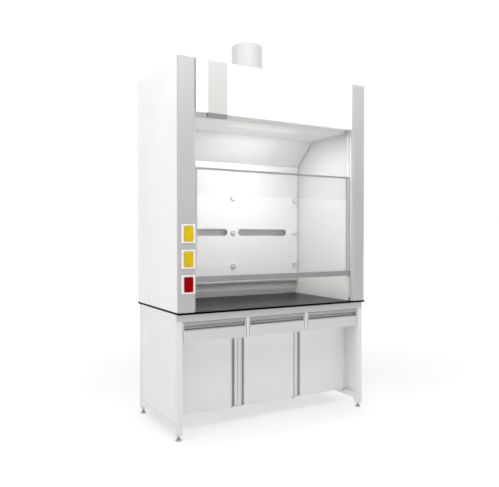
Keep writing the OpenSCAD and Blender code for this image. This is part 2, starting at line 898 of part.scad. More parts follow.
// Flanged neck that passes the roof, with the slightly wider spigot for the duct above it
module duct_collar() {
  spigot_z = casing_top_z + neck_rise - collar_z;
  color(frame_grey) translate([0, collar_y, collar_z]) difference() {
    union() {
      cylinder(r = collar_flange_r, h = collar_flange_t, $fn = 96);
      cylinder(r = neck_r, h = spigot_z + through, $fn = 96);
      translate([0, 0, spigot_z])
        cylinder(r = collar_r, h = collar_top_z - collar_z - spigot_z, $fn = 96);
    }
    translate([0, 0, -through])
      cylinder(r = neck_r - collar_wall, h = collar_top_z - collar_z + 2 * through, $fn = 96);
  }
}

// ---------- Sash ----------

// Extrusion behind each post with one channel for the sash and one for the fixed pane
module sash_guides() {
  depth = guide_depths[1] - guide_depths[0];
  color(aluminium) both_sides()
    translate([post_in_x, front_y, worktop_z]) linear_extrude(guide_top_z - worktop_z)
      difference() {
        translate([0, guide_depths[0]]) square([guide_w, depth]);
        translate([-through, sash_depth - sash_channel / 2])
          square([guide_w - guide_back + through, sash_channel]);
        translate([-through, pane_depth - pane_channel / 2])
          square([pane_channel_w + through, pane_channel]);
      }
}

module fixed_pane() {
  color(glass_tint)
    bar([-pane_edge_x, pane_edge_x], [at(pane_depth - glass_t / 2), at(pane_depth + glass_t / 2)],
        [pane_low_z, header_top_z - header_groove_wall - pane_groove_gap]);
}

// Rubber buffers held in the guide channels at the ends of the sash's travel
module sash_stops() {
  x = [post_in_x + 8, post_in_x + guide_w - guide_back];
  y = [at(sash_depth - sash_channel / 2), at(sash_depth + sash_channel / 2)];
  low_stop_z = sash_low_z - sash_down - stop_gap;
  top_stop_z = sash_high_z + sash_up + stop_gap;
  top_stop_h = 18;
  color(rubber_black) both_sides() {
    bar(x, y, [worktop_z, low_stop_z]);
    difference() {
      bar(x, y, [top_stop_z, top_stop_z + top_stop_h]);
      translate([rope_x, at(sash_depth), top_stop_z - through])
        cylinder(r = ferrule_r + 3, h = top_stop_h + 2 * through);
    }
  }
}

module sash_frame() {
  y = [at(sash_depth - sash_t / 2), at(sash_depth + sash_t / 2)];
  groove_half = (glass_t + seat_gap) / 2;
  groove_y = [at(sash_depth - groove_half), at(sash_depth + groove_half)];
  foot_z = sash_low_z + handle_h;
  groove_top = sash_rail_h - glass_bite;
  color(aluminium) difference() {
    union() {
      both_sides() {
        bar([stile_in_x, stile_out_x], y, [sash_low_z, sash_high_z]);
        bar([stile_out_x - through, lug_x], y, [sash_high_z - lug_h, sash_high_z]);
        translate([rope_x, at(sash_depth), sash_high_z - through])
          cylinder(r = ferrule_r, h = ferrule_h + through);
      }
      bar([-stile_in_x - through, stile_in_x + through], y,
          [sash_high_z - sash_rail_h, sash_high_z]);
    }
    bar([-stile_in_x - glass_bite, stile_in_x + glass_bite], groove_y,
        [foot_z - through, sash_high_z - groove_top]);
    both_sides() bar([stile_in_x - through, handle_x + seat_gap],
                     [y[0] - through, y[1] + through], [sash_low_z - through, foot_z]);
  }
}

module sash_glass() {
  side = stile_in_x + glass_bite - glass_edge_gap;
  color(glass_tint)
    bar([-side, side], [at(sash_depth - glass_t / 2), at(sash_depth + glass_t / 2)],
        [sash_low_z + handle_h - glass_bite,
         sash_high_z - sash_rail_h + glass_bite - glass_edge_gap]);
}

// Hollow rail with a finger lip; the glass stands in its groove
module sash_handle() {
  top_z = sash_low_z + handle_h;
  lip_rise = 8;
  lip_run = 6;
  front = sash_depth - handle_front - sash_t / 2 + lip_rise;
  rear = sash_depth + sash_t / 2;
  wall = 2;
  groove_half = (glass_t + seat_gap) / 2;
  groove = [sash_depth - groove_half, sash_depth + groove_half];
  floor_z = top_z - glass_bite - seat_gap;
  color(aluminium) translate([0, front_y, 0]) difference() {
    run_x(-handle_x, handle_x) polygon([
      [front, sash_low_z + lip_rise], [front + lip_run, sash_low_z], [rear, sash_low_z],
      [rear, top_z],
      [groove[1], top_z], [groove[1], floor_z], [groove[0], floor_z], [groove[0], top_z],
      [front, top_z]
    ]);
    run_x(-half_w, half_w) polygon([
      [front + wall, sash_low_z + lip_rise + 1], [front + lip_run + 1, sash_low_z + wall],
      [rear - wall, sash_low_z + wall], [rear - wall, floor_z - wall],
      [front + wall, floor_z - wall]
    ]);
  }
}

// Nylon blocks that run in the guide channels
module sash_glides() {
  half = sash_channel / 2 - glide_clear;
  end_gap = 4;
  glide_end_x = post_in_x + guide_w - guide_back - stop_gap;
  color("ivory") both_sides()
    for (z = [sash_low_z + end_gap, sash_high_z - lug_h - glide_h - end_gap])
      bar([stile_out_x, glide_end_x], [at(sash_depth - half), at(sash_depth + half)],
          [z, z + glide_h]);
}

// Hanging fork with the axle across it
module pulley_bracket() {
  reach = 25;
  cheek = [10, 13];
  cheek_drop = 20;
  bridge_x = 30;
  bridge_lap = 5;
  bridge_t = 4;
  color(zinc) translate([rope_x, pulley_y, 0]) {
    for (s = [-1, 1])
      bar([min(s * cheek[0], s * cheek[1]), max(s * cheek[0], s * cheek[1])],
          [-reach, reach], [pulley_z - cheek_drop, top_z - through]);
    bar([-bridge_x, bridge_x], [-reach - bridge_lap, reach + bridge_lap],
        [top_z - bridge_t, top_z - seat_gap]);
    translate([-cheek[1], 0, pulley_z]) rotate([0, 90, 0]) cylinder(r = axle_r, h = 2 * cheek[1]);
  }
}

module pulley_brackets() {
  both_sides() pulley_bracket();
}

// Grooved wheel with lightening holes
module pulley() {
  groove_r = pulley_r - rope_r - groove_gap;
  rim = 2;
  hole_r = 16;
  holes = 5;
  hole_ring_r = groove_r / 2 + 4;
  groove_half = rope_r + 0.2;
  translate([rope_x, pulley_y, pulley_z]) rotate([0, 90, 0]) difference() {
    rotate_extrude($fn = 96) polygon([
      [axle_r + axle_clear, -pulley_half_w], [pulley_flange_r, -pulley_half_w],
      [pulley_flange_r, -pulley_half_w + rim], [groove_r, -groove_half],
      [groove_r, groove_half], [pulley_flange_r, pulley_half_w - rim],
      [pulley_flange_r, pulley_half_w], [axle_r + axle_clear, pulley_half_w]
    ]);
    for (k = [0:holes - 1]) rotate(k * 360 / holes)
      translate([hole_ring_r, 0, -pulley_half_w - through])
        cylinder(r = hole_r, h = 2 * (pulley_half_w + through));
  }
}

module pulley_right() {
  color(near_black) pulley();
}

module pulley_left() {
  color(near_black) mirror([1, 0, 0]) pulley();
}

module counterweight() {
  bar(weight_x, [rear_rope_y - weight_half_d, rear_rope_y + weight_half_d],
      [weight_top_z - weight_h, weight_top_z]);
  translate([rope_x, rear_rope_y, weight_top_z - through])
    cylinder(r = ferrule_r, h = ferrule_h + through);
}

module counterweight_right() {
  color(zinc) counterweight();
}

module counterweight_left() {
  color(zinc) mirror([1, 0, 0]) counterweight();
}

// Upright stretch of rope
module rope_run(y, low_z) {
  color(zinc) both_sides()
    translate([rope_x, y, low_z]) cylinder(r = rope_r, h = pulley_z - low_z, $fn = 16);
}

module rope_front_runs() {
  rope_run(at(sash_depth), sash_high_z + ferrule_h);
}

module rope_rear_runs() {
  rope_run(rear_rope_y, weight_top_z + ferrule_h);
}

// Rope lying over the top half of each pulley
module rope_crowns() {
  color(zinc) both_sides() translate([rope_x, pulley_y, pulley_z]) rotate([90, 0, 90])
    rotate_extrude(angle = 180, $fn = 96) translate([pulley_r, 0]) circle(rope_r, $fn = 16);
}

// ---------- Socket outlets ----------

// Bezel with two ears whose pins carry the lid
module socket_frame() {
  open_w = lid_w + 2 * lid_edge_gap;
  open_h = lid_h + 2 * lid_edge_gap;
  difference() {
    bar([socket_x - socket_w / 2, socket_x + socket_w / 2], [at(-bezel_t), at(0)],
        [-socket_h / 2, socket_h / 2]);
    bar([socket_x - open_w / 2, socket_x + open_w / 2], [at(-bezel_t - 1), at(1)],
        [-open_h / 2, open_h / 2]);
  }
  for (s = [-1, 1]) {
    ends = [s * (lid_h / 2 + ear_gap), s * (lid_h / 2 + ear_h)];
    z = [min(ends), max(ends)];
    bar([lid_axis_x - knuckle_r, lid_axis_x + knuckle_r],
        [at(-lid_axis - knuckle_r), at(-lid_rest)], z);
    translate([lid_axis_x, at(-lid_axis), s > 0 ? z[0] - lid_pin_l : z[1] - through])
      cylinder(r = lid_pin_r, h = lid_pin_l + through, $fn = 24);
  }
}

module socket_frames() {
  color(white) for (z = socket_zs) translate([0, 0, z]) socket_frame();
}

// Round plug well with two contact holes at its bottom
module socket_insert() {
  half = [(lid_w + lid_edge_gap) / 2, (lid_h + lid_edge_gap) / 2];
  face = -lid_rest;
  difference() {
    bar([socket_x - half[0], socket_x + half[0]], [at(face), at(insert_depth)],
        [-half[1], half[1]]);
    pin_y(well_r, socket_x, 0, at(face - 1), at(face + well_d));
    for (x = [-contact_half_pitch, contact_half_pitch])
      pin_y(contact_r, socket_x + x, 0, at(face), at(insert_depth - 3));
  }
}

module socket_inserts() {
  color(steel_white) for (z = socket_zs) translate([0, 0, z]) socket_insert();
}

// Flap with a full-length knuckle on its left edge
module socket_lid(row, lid_colour) {
  plate_front = -front_proud;
  color(lid_colour) translate([0, 0, socket_zs[row]]) difference() {
    union() {
      bar([lid_axis_x, lid_left_x + lid_w], [at(plate_front), at(plate_front + lid_t)],
          [-lid_h / 2, lid_h / 2]);
      translate([lid_axis_x, at(-lid_axis), -lid_h / 2]) cylinder(r = knuckle_r, h = lid_h);
    }
    for (z = [-lid_h / 2 - 1, lid_h / 2 - lid_pin_l - 1])
      translate([lid_axis_x, at(-lid_axis), z])
        cylinder(r = lid_pin_r + lid_pin_clear, h = lid_pin_l + 2, $fn = 24);
  }
}

// ---------- Drawing ----------

side_frames();
cross_rails();
levelling_feet();
base_side_panels();
worktop();
cabinet_carcass();
door_pivots();
drawer_dividers();
drawer_runners();
post_left();
post_right();
side_panels();
rear_cover();
cover_screws();
top_cover();
fascia();
fascia_strip();
chamber_liners();
ceiling_panel();
baffles();
baffle_knobs();
lamp_housing();
lamp_lens();
exhaust_plenum();
duct_collar();
sash_guides();
fixed_pane();
sash_stops();
pulley_brackets();
socket_frames();
socket_inserts();
rope_crowns();
rope_front_runs();
rope_rear_runs();
sash_frame();
sash_glass();
sash_handle();
sash_glides();
pulley_left();
pulley_right();
counterweight_left();
counterweight_right();
drawer_box(-1);  // drawer_box_left
drawer_box(0);  // drawer_box_centre
drawer_box(1);  // drawer_box_right
drawer_front(-1);  // drawer_front_left
drawer_front(0);  // drawer_front_centre
drawer_front(1);  // drawer_front_right
drawer_handle(-1);  // drawer_handle_left
drawer_handle(0);  // drawer_handle_centre
drawer_handle(1);  // drawer_handle_right
door(-1);  // door_left
door(0);  // door_centre
door(1);  // door_right
door_handle(-1);  // door_handle_left
door_handle(0);  // door_handle_centre
door_handle(1);  // door_handle_right
socket_lid(0, lid_yellow);  // socket_lid_top
socket_lid(1, lid_yellow);  // socket_lid_middle
socket_lid(2, lid_red);  // socket_lid_bottom
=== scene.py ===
"""Bench fume hood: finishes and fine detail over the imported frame, with its studio and camera.

Everything is in metres in the frame's own axes: X to the right, Y to the back and Z up.
"""

import json
import math

import bmesh
import bpy
from mathutils import Matrix, Vector


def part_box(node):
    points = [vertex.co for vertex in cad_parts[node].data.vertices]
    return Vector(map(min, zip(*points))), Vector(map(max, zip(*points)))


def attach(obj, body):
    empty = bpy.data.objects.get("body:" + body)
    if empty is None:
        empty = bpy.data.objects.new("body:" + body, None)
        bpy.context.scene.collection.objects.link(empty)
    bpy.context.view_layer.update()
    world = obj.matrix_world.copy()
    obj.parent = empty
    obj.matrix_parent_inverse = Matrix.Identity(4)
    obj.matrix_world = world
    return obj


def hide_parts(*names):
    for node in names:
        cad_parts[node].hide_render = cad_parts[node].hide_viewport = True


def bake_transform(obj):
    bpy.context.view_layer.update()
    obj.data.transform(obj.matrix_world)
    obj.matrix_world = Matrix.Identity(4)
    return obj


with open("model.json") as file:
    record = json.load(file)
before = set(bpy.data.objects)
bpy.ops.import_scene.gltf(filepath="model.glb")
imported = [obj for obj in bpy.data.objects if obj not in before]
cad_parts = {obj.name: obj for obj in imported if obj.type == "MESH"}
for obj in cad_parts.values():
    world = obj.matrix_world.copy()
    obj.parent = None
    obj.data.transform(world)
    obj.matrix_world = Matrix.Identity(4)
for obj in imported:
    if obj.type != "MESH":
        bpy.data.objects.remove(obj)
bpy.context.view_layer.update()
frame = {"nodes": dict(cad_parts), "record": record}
nodes = frame["nodes"]
MM = 0.001
SIDES = ("left", "right")
BAYS = ("left", "centre", "right")
ROWS = ("top", "middle", "bottom")
ROUND = 48


# ---------- Reading the frame ----------


def solids(node):
    """Boxes, as (low, high) corners, of a CAD node's separate solids."""
    bm = bmesh.new()
    bm.from_mesh(nodes[node].data)
    bmesh.ops.remove_doubles(bm, verts=bm.verts, dist=1e-6)
    left, boxes = set(bm.verts), []
    while left:
        front = [left.pop()]
        island = list(front)
        while front:
            near = {e.other_vert(v) for v in front for e in v.link_edges} & left
            left -= near
            front = list(near)
            island += front
        boxes.append(
            tuple(
                Vector([pick(v.co[k] for v in island) for k in range(3)])
                for pick in (min, max)
            )
        )
    bm.free()
    return sorted(boxes, key=lambda b: tuple(round(c, 4) for c in (*b[0], *b[1])))


def middle(box):
    return (box[0] + box[1]) / 2


# ---------- Materials ----------


def srgb(red, green, blue):
    """Linear colour of 8-bit display values."""
    linear = [
        c / 12.92 if c <= 0.04045 else ((c + 0.055) / 1.055) ** 2.4
        for c in (red / 255, green / 255, blue / 255)
    ]
    return (*linear, 1.0)


def shade(colour, factor):
    return (*[min(1.0, c * factor) for c in colour[:3]], 1.0)


class Finish:
    """One material, with short calls for the nodes that feed its Principled shader."""

    def __init__(self, name, metallic=0.0, specular=0.5, coat=0.0):
        self.material = bpy.data.materials.new(name)
        self.material.use_nodes = True
        self.tree = self.material.node_tree
        self.shader = self.tree.nodes["Principled BSDF"]
        self.shader.inputs["Metallic"].default_value = metallic
        self.shader.inputs["Specular IOR Level"].default_value = specular
        self.shader.inputs["Coat Weight"].default_value = coat
        self.place = self.add("ShaderNodeTexCoord").outputs["Object"]

    def add(self, kind, **settings):
        node = self.tree.nodes.new(kind)
        for key, value in settings.items():
            setattr(node, key, value)
        return node

    def feed(self, socket, value):
        if isinstance(value, bpy.types.NodeSocket):
            self.tree.links.new(value, socket)
        else:
            socket.default_value = value

    def band(self, z_from, z_to):
        """0 above z_from, rising to 1 at z_to below it."""
        split = self.add("ShaderNodeSeparateXYZ")
        self.feed(split.inputs[0], self.place)
        return self.remap(split.outputs["Z"], z_from, z_to)

    def scaled(self, scale):
        """Object coordinates multiplied by scale, in repeats a metre on each axis."""
        mapping = self.add("ShaderNodeMapping")
        self.feed(mapping.inputs["Vector"], self.place)
        self.feed(mapping.inputs["Scale"], scale)
        return mapping.outputs["Vector"]

    def noise(self, scale, detail=3.0, rough=0.55, twist=0.0):
        """Noise from 0 to 1; scale is one number, or one for each axis."""
        scale = (scale,) * 3 if isinstance(scale, (int, float)) else scale
        node = self.add("ShaderNodeTexNoise")
        self.feed(node.inputs["Vector"], self.scaled(scale))
        self.feed(node.inputs["Scale"], 1.0)
        self.feed(node.inputs["Detail"], detail)
        self.feed(node.inputs["Roughness"], rough)
        self.feed(node.inputs["Distortion"], twist)
        return node.outputs["Fac"]

    def cells(self, scale):
        node = self.add("ShaderNodeTexVoronoi")
        self.feed(node.inputs["Vector"], self.scaled((scale,) * 3))
        self.feed(node.inputs["Scale"], 1.0)
        return node

    def remap(self, value, low, high, to_low=0.0, to_high=1.0):
        node = self.add("ShaderNodeMapRange")
        for socket, number in zip(node.inputs, (value, low, high, to_low, to_high)):
            self.feed(socket, number)
        return node.outputs["Result"]

    def maths(self, operation, a, b):
        node = self.add("ShaderNodeMath", operation=operation)
        self.feed(node.inputs[0], a)
        self.feed(node.inputs[1], b)
        return node.outputs[0]

    def blend(self, factor, a, b):
        node = self.add("ShaderNodeMix", data_type="RGBA")
        self.feed(node.inputs["Factor"], factor)
        self.feed(node.inputs["A"], a)
        self.feed(node.inputs["B"], b)
        return node.outputs["Result"]

    def edges(self, radius):
        """About 1 within radius of an outer edge and 0 elsewhere, broken up by noise."""
        soft = self.add("ShaderNodeBevel", samples=4)
        self.feed(soft.inputs["Radius"], radius)
        flat = self.add("ShaderNodeNewGeometry").outputs["Normal"]
        dot = self.add("ShaderNodeVectorMath", operation="DOT_PRODUCT")
        self.feed(dot.inputs[0], soft.outputs["Normal"])
        self.feed(dot.inputs[1], flat)
        mask = self.remap(dot.outputs["Value"], 0.995, 0.85)
        return self.maths(
            "MULTIPLY", mask, self.remap(self.noise(90.0), 0.35, 0.62, 0.15, 1.0)
        )

    def corners(self, reach):
        """About 1 deep in a recess and 0 in the open; this mask carries painted shade into recesses."""
        node = self.add("ShaderNodeAmbientOcclusion", samples=4)
        self.feed(node.inputs["Distance"], reach)
        return self.remap(node.outputs["AO"], 0.75, 0.15)

    def done(self, colour, roughness, height=None, depth=0.0):
        """Feeds the shader; height from 0 to 1 is a relief of depth metres."""
        self.feed(self.shader.inputs["Base Color"], colour)
        self.feed(self.shader.inputs["Roughness"], roughness)
        if height is not None:
            bump = self.add("ShaderNodeBump")
            self.feed(bump.inputs["Strength"], 1.0)
            self.feed(bump.inputs["Distance"], depth)
            self.feed(bump.inputs["Height"], height)
            self.feed(self.shader.inputs["Normal"], bump.outputs["Normal"])
        return self.material


def powder_coat(name, colour, roughness=0.42, wear=0.35, corner_shade=0.25, below=None):
    """Sprayed and baked paint: orange-peel relief, rubbed edges, faint painted shade in corners.

    below is (height, share): painted shade, under that height the colour is multiplied by share."""
    f = Finish(name)
    patches = f.remap(f.noise(2.2, 4.0), 0.3, 0.7)
    tone = f.blend(patches, shade(colour, 0.965), shade(colour, 1.015))
    rubbed = f.maths("MULTIPLY", f.edges(1.2 * MM), wear)
    tone = f.blend(rubbed, tone, shade(colour, 0.62))
    # Painted shade in corners and recesses, by occlusion.
    if corner_shade:
        tone = f.blend(f.maths("MULTIPLY", f.corners(0.01), corner_shade), tone, shade(colour, 0.65))
    # Painted shade under the given height.
    if below:
        tone = f.blend(f.band(below[0], below[0] - 1 * MM), tone, shade(colour, below[1]))
    peel = f.noise(620.0, 1.5)
    gloss = f.remap(f.noise(9.0, 4.0), 0.3, 0.7, roughness - 0.06, roughness + 0.07)
    return f.done(tone, gloss, peel, 0.10 * MM)


def laminate(name, colour):
    """Melamine board: fine pebble relief, handling marks, and a visible edge band."""
    f = Finish(name)
    tone = f.blend(
        f.remap(f.noise(3.0, 5.0), 0.3, 0.7), shade(colour, 0.97), shade(colour, 1.01)
    )
    band = f.maths("MULTIPLY", f.edges(1.6 * MM), 0.4)
    tone = f.blend(band, tone, shade(colour, 0.7))
    smudge = f.noise((7.0, 7.0, 3.0), 5.0, 0.6, 0.8)
    gloss = f.remap(smudge, 0.3, 0.7, 0.34, 0.5)
    return f.done(tone, gloss, f.noise(1500.0, 1.0), 0.04 * MM)


def lining_board(name, colour, top_shade=None):
    """Solid laminate lining with upright wiping marks.

    The last argument is (top, bottom, share): painted shade, the colour is multiplied by share
    at the top, near the lamp, and is whole again at the bottom."""
    f = Finish(name, specular=0.55)
    wiped = f.noise((5.0, 5.0, 1.2), 4.0, 0.55, 0.4)
    tone = f.blend(
        f.remap(wiped, 0.3, 0.72), shade(colour, 0.985), shade(colour, 1.01)
    )
    tone = f.blend(f.maths("MULTIPLY", f.edges(1.5 * MM), 0.3), tone, shade(colour, 0.6))
    # Painted shade at the top, near the lamp.
    if top_shade:
        top, bottom, share = top_shade
        tone = f.blend(f.band(top, bottom), shade(colour, share), tone)
    gloss = f.remap(wiped, 0.25, 0.75, 0.3, 0.45)
    return f.done(tone, gloss, f.noise(700.0, 2.0), 0.012 * MM)


def resin(name, colour, specular=0.2):
    """Cast resin top: fine light speckle, scuffs from glassware, rubbed edges."""
    f = Finish(name, specular=specular)
    speck = f.remap(f.noise(420.0, 2.0, 0.7), 0.58, 0.74)
    tone = f.blend(speck, colour, shade(colour, 1.7))
    scuffs = f.remap(f.noise(34.0, 5.0, 0.7, 0.5), 0.58, 0.75)
    tone = f.blend(f.maths("MULTIPLY", scuffs, 0.12), tone, shade(colour, 1.6))
    tone = f.blend(f.maths("MULTIPLY", f.edges(0.8 * MM), 0.1), tone, shade(colour, 2.0))
    gloss = f.remap(f.noise(3.0, 3.0), 0.3, 0.7, 0.29, 0.33)
    return f.done(tone, gloss, f.noise(700.0, 2.0), 0.05 * MM)


def brushed(name, colour, along, roughness=0.34, metallic=1.0, recess_shade=0.5, flange=None, cap=None):
    """Drawn or brushed metal with fine lines along one axis, 0 to 2.

    flange is (top, bottom, share): painted shade on a grip's top lip, the colour falls to share between
    those heights.
    cap is (height, share): painted shade, above that height the colour is multiplied by share."""
    f = Finish(name, metallic=metallic)
    scale = [900.0] * 3
    scale[along] = 6.0
    lines = f.noise(tuple(scale), 3.0, 0.6)
    tone = f.blend(f.remap(lines, 0.3, 0.7), shade(colour, 0.86), shade(colour, 1.06))
    tone = f.blend(f.maths("MULTIPLY", f.edges(0.9 * MM), 0.5), tone, shade(colour, 1.25))
    # Painted shade in recesses, by occlusion.
    tone = f.blend(f.maths("MULTIPLY", f.corners(0.008), recess_shade), tone, shade(colour, 0.35))
    # Painted shade down a grip's top lip.
    if flange:
        top, bottom, share = flange
        fall = f.maths("SUBTRACT", f.band(top, bottom), f.band(bottom, bottom - 1 * MM))
        tone = f.blend(fall, tone, shade(colour, share))
    # Painted shade above the given height.
    if cap:
        tone = f.blend(f.band(cap[0], cap[0] - 1 * MM), shade(colour, cap[1]), tone)
    gloss = f.remap(lines, 0.25, 0.75, roughness - 0.08, roughness + 0.1)
    return f.done(tone, gloss, lines, 0.025 * MM)


def zinc_plate(name, colour, roughness=0.36):
    """Zinc-plated steel: faint spangle, dulled patches and bright rubbed edges."""
    f = Finish(name, metallic=1.0)
    spangle = f.cells(240.0).outputs["Color"]
    grey = f.add("ShaderNodeRGBToBW")
    f.feed(grey.inputs[0], spangle)
    tone = f.blend(grey.outputs[0], shade(colour, 0.9), shade(colour, 1.08))
    dull = f.remap(f.noise(35.0, 4.0), 0.45, 0.7)
    tone = f.blend(f.maths("MULTIPLY", dull, 0.5), tone, shade(colour, 0.7))
    tone = f.blend(f.maths("MULTIPLY", f.edges(0.6 * MM), 0.6), tone, shade(colour, 1.5))
    gloss = f.remap(dull, 0.0, 1.0, roughness - 0.08, roughness + 0.16)
    return f.done(tone, gloss, f.noise(900.0, 2.0), 0.03 * MM)


def moulded(name, colour, roughness=0.3, coat=0.0, relief=0.03, worn=0.7, specular=0.5):
    """Moulded plastic: faint sink marks, spark-eroded relief, scuffed edges."""
    f = Finish(name, specular=specular, coat=coat)
    tone = f.blend(
        f.remap(f.noise(28.0, 3.0), 0.3, 0.7), shade(colour, 0.94), shade(colour, 1.04)
    )
    tone = f.blend(f.maths("MULTIPLY", f.edges(0.7 * MM), 0.4), tone, shade(colour, worn))
    # Painted shade in recesses, by occlusion.
    tone = f.blend(f.maths("MULTIPLY", f.corners(0.006), 0.5), tone, shade(colour, 0.45))
    gloss = f.remap(f.noise(45.0, 4.0), 0.3, 0.7, roughness - 0.08, roughness + 0.1)
    return f.done(tone, gloss, f.noise(1300.0, 2.0), relief * MM)


def cast_metal(name, colour):
    """Painted casting with a sandy skin and chipped edges."""
    f = Finish(name, metallic=0.3)
    tone = f.blend(
        f.remap(f.noise(40.0, 5.0), 0.35, 0.65), shade(colour, 0.75), shade(colour, 1.2)
    )
    tone = f.blend(f.maths("MULTIPLY", f.edges(2.0 * MM), 0.7), tone, shade(colour, 2.2))
    sand = f.noise(420.0, 4.0, 0.7)
    return f.done(tone, f.remap(sand, 0.3, 0.7, 0.5, 0.78), sand, 0.4 * MM)


def rubber(name, colour):
    """Matt rubber with bloom."""
    f = Finish(name, specular=0.3)
    bloom = f.remap(f.noise(60.0, 5.0), 0.4, 0.7)
    tone = f.blend(f.maths("MULTIPLY", bloom, 0.5), colour, shade(colour, 2.4))
    return f.done(tone, f.remap(bloom, 0, 1, 0.6, 0.85), f.noise(1100.0, 3.0), 0.06 * MM)


def stranded(name, colour):
    """Wire rope: bright wires twisted round the run, darker between them."""
    f = Finish(name, metallic=1.0)
    wave = f.add("ShaderNodeTexWave", bands_direction="DIAGONAL")
    f.feed(wave.inputs["Vector"], f.scaled((260.0, 260.0, 110.0)))
    f.feed(wave.inputs["Distortion"], 0.6)
    twist = wave.outputs["Fac"]
    tone = f.blend(twist, shade(colour, 0.35), shade(colour, 1.15))
    return f.done(tone, f.remap(twist, 0, 1, 0.5, 0.28), twist, 0.3 * MM)


def window_glass(name, tint, alpha):
    """Clear toughened pane: see-through, with faint wiping smears in its gloss."""
    f = Finish(name, specular=0.8)
    f.shader.inputs["Alpha"].default_value = alpha
    f.shader.inputs["IOR"].default_value = 1.52
    smears = f.noise((5.0, 5.0, 1.6), 5.0, 0.65, 1.2)
    tone = f.blend(f.remap(smears, 0.35, 0.7), shade(tint, 0.93), tint)
    waves = f.noise(4.0, 1.0)
    return f.done(tone, f.remap(smears, 0.35, 0.75, 0.015, 0.09), waves, 0.08 * MM)


def diffuser(name, colour, strength):
    """Opal lamp cover with a prismatic face, lit from behind."""
    f = Finish(name, specular=0.5)
    prisms = f.cells(190.0).outputs["Distance"]
    tone = f.blend(f.remap(prisms, 0.0, 0.8), colour, shade(colour, 0.86))
    f.feed(f.shader.inputs["Emission Color"], tone)
    f.shader.inputs["Emission Strength"].default_value = strength
    return f.done(tone, f.remap(f.noise(50.0), 0.3, 0.7, 0.3, 0.45), prisms, 0.6 * MM)


PAINT_GREY = srgb(236, 236, 236)
PANEL_WHITE = srgb(243, 243, 243)
ALLOY = srgb(206, 208, 209)

finishes = {
    "frame_paint": powder_coat("frame_paint", PAINT_GREY),
    "zinc": zinc_plate("zinc", srgb(176, 178, 181)),
    "laminate": laminate("laminate", srgb(238, 238, 238)),
    "worktop_resin": resin("worktop_resin", srgb(12, 12, 13)),
    "post_paint": powder_coat("post_paint", srgb(189, 190, 190), 0.38),
    "panel_paint": powder_coat("panel_paint", PANEL_WHITE, 0.4, 0.25),
    # The strip's part under the fascia's bottom edge gets painted shade (share 0.42).
    "strip_paint": powder_coat("strip_paint", srgb(203, 203, 201), 0.45,
                               below=(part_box("fascia")[0].z, 0.42)),
    "lining": lining_board("lining", srgb(240, 240, 239)),
    "knob_plastic": moulded("knob_plastic", srgb(212, 212, 211), 0.28, 0.3),
    "duct_plastic": moulded("duct_plastic", srgb(228, 229, 229), 0.5),
    "lamp_steel": powder_coat("lamp_steel", srgb(240, 240, 238)),
    "lamp_diffuser": diffuser("lamp_diffuser", srgb(244, 244, 240), 0.15),
    "collar_paint": powder_coat("collar_paint", srgb(202, 203, 203), 0.4),
    "aluminium": brushed("aluminium", ALLOY, 2),
    "sash_glass": window_glass("sash_glass", srgb(196, 202, 202), 0.09),
    "rubber": rubber("rubber", srgb(33, 33, 34)),
    "nylon": moulded("nylon", srgb(232, 228, 214), 0.5),
    "pulley_plastic": moulded("pulley_plastic", srgb(52, 53, 56), 0.42, worn=1.9),
    "weight_iron": cast_metal("weight_iron", srgb(108, 111, 114)),
    "rope_steel": stranded("rope_steel", srgb(188, 190, 193)),
    "socket_white": moulded("socket_white", srgb(247, 247, 245), 0.24, 0.4),
    "socket_core": moulded("socket_core", srgb(214, 214, 210), 0.5),
    "lid_yellow": moulded("lid_yellow", srgb(226, 192, 0), 0.34, worn=0.8, specular=0.12),
    "lid_red": moulded("lid_red", srgb(160, 0, 2), 0.34, worn=0.8, specular=0.03),
    "drawer_steel": powder_coat("drawer_steel", srgb(236, 236, 235), 0.5),
}
FLANGE = 27 * MM
SASH_SHADED_RAIL = 22 * MM
BAFFLE_UNSHADED_RISE = 0.3
LINING_UNSHADED_RISE = 0.1
grip_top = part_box("drawer_handle_left")[1].z
sash_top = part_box("sash_frame")[1].z
work_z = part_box("worktop")[1].z
own_finishes = {
    # Baffles and side linings: painted shade at the top, near the lamp, gone by the given rise above the
    # worktop.
    "baffles": lining_board("baffle_lining", srgb(243, 243, 242),
                            (sash_top, work_z + BAFFLE_UNSHADED_RISE, 0.84)),
    "chamber_liners": lining_board("side_lining", srgb(240, 240, 239),
                                   (sash_top, work_z + LINING_UNSHADED_RISE, 0.72)),
    "fascia": powder_coat("fascia_paint", srgb(252, 252, 251), 0.34, 0.25),
    # Cross rails: the frame paint darkened, painted shade under the worktop's overhang; the rail lips use
    # it too.
    "cross_rails": powder_coat("rail_paint_shaded", srgb(212, 213, 213)),
    "sash_guides": powder_coat("guide_paint", srgb(248, 248, 247), 0.45, 0.1, corner_shade=0.0),
    # Sash frame: its top rail gets painted shade, the alloy darkened above the given height.
    "sash_frame": brushed("sash_alloy", srgb(216, 218, 219), 2, metallic=0.7, recess_shade=0.1,
                          cap=(sash_top - SASH_SHADED_RAIL, 0.72)),
    "sash_handle": brushed("rail_alloy", srgb(164, 166, 167), 0),
}
# Drawer fronts: the doors' laminate darkened, as painted shade.
for bay in BAYS:
    own_finishes[f"drawer_front_{bay}"] = laminate(f"drawer_laminate_shaded_{bay}", srgb(217, 217, 217))
# Drawer grips: the door grips' alloy darkened as painted shade, with more painted shade down the top lip.
drawer_grip_shaded = brushed("drawer_grip_shaded", srgb(189, 191, 192), 0, metallic=0.4, recess_shade=0.3,
                      flange=(grip_top, grip_top - FLANGE, 0.6))
door_grip = brushed("door_grip", srgb(224, 226, 227), 2, metallic=0.3, recess_shade=0.15)
edge_resin = resin("edge_resin", srgb(4, 4, 5), specular=0.03)
# Dark strips in the grip channels, painted where the channel walls cast shadow.
painted_channel_shadow = rubber("painted_channel_shadow", srgb(70, 71, 73))


# ---------- Making pieces ----------


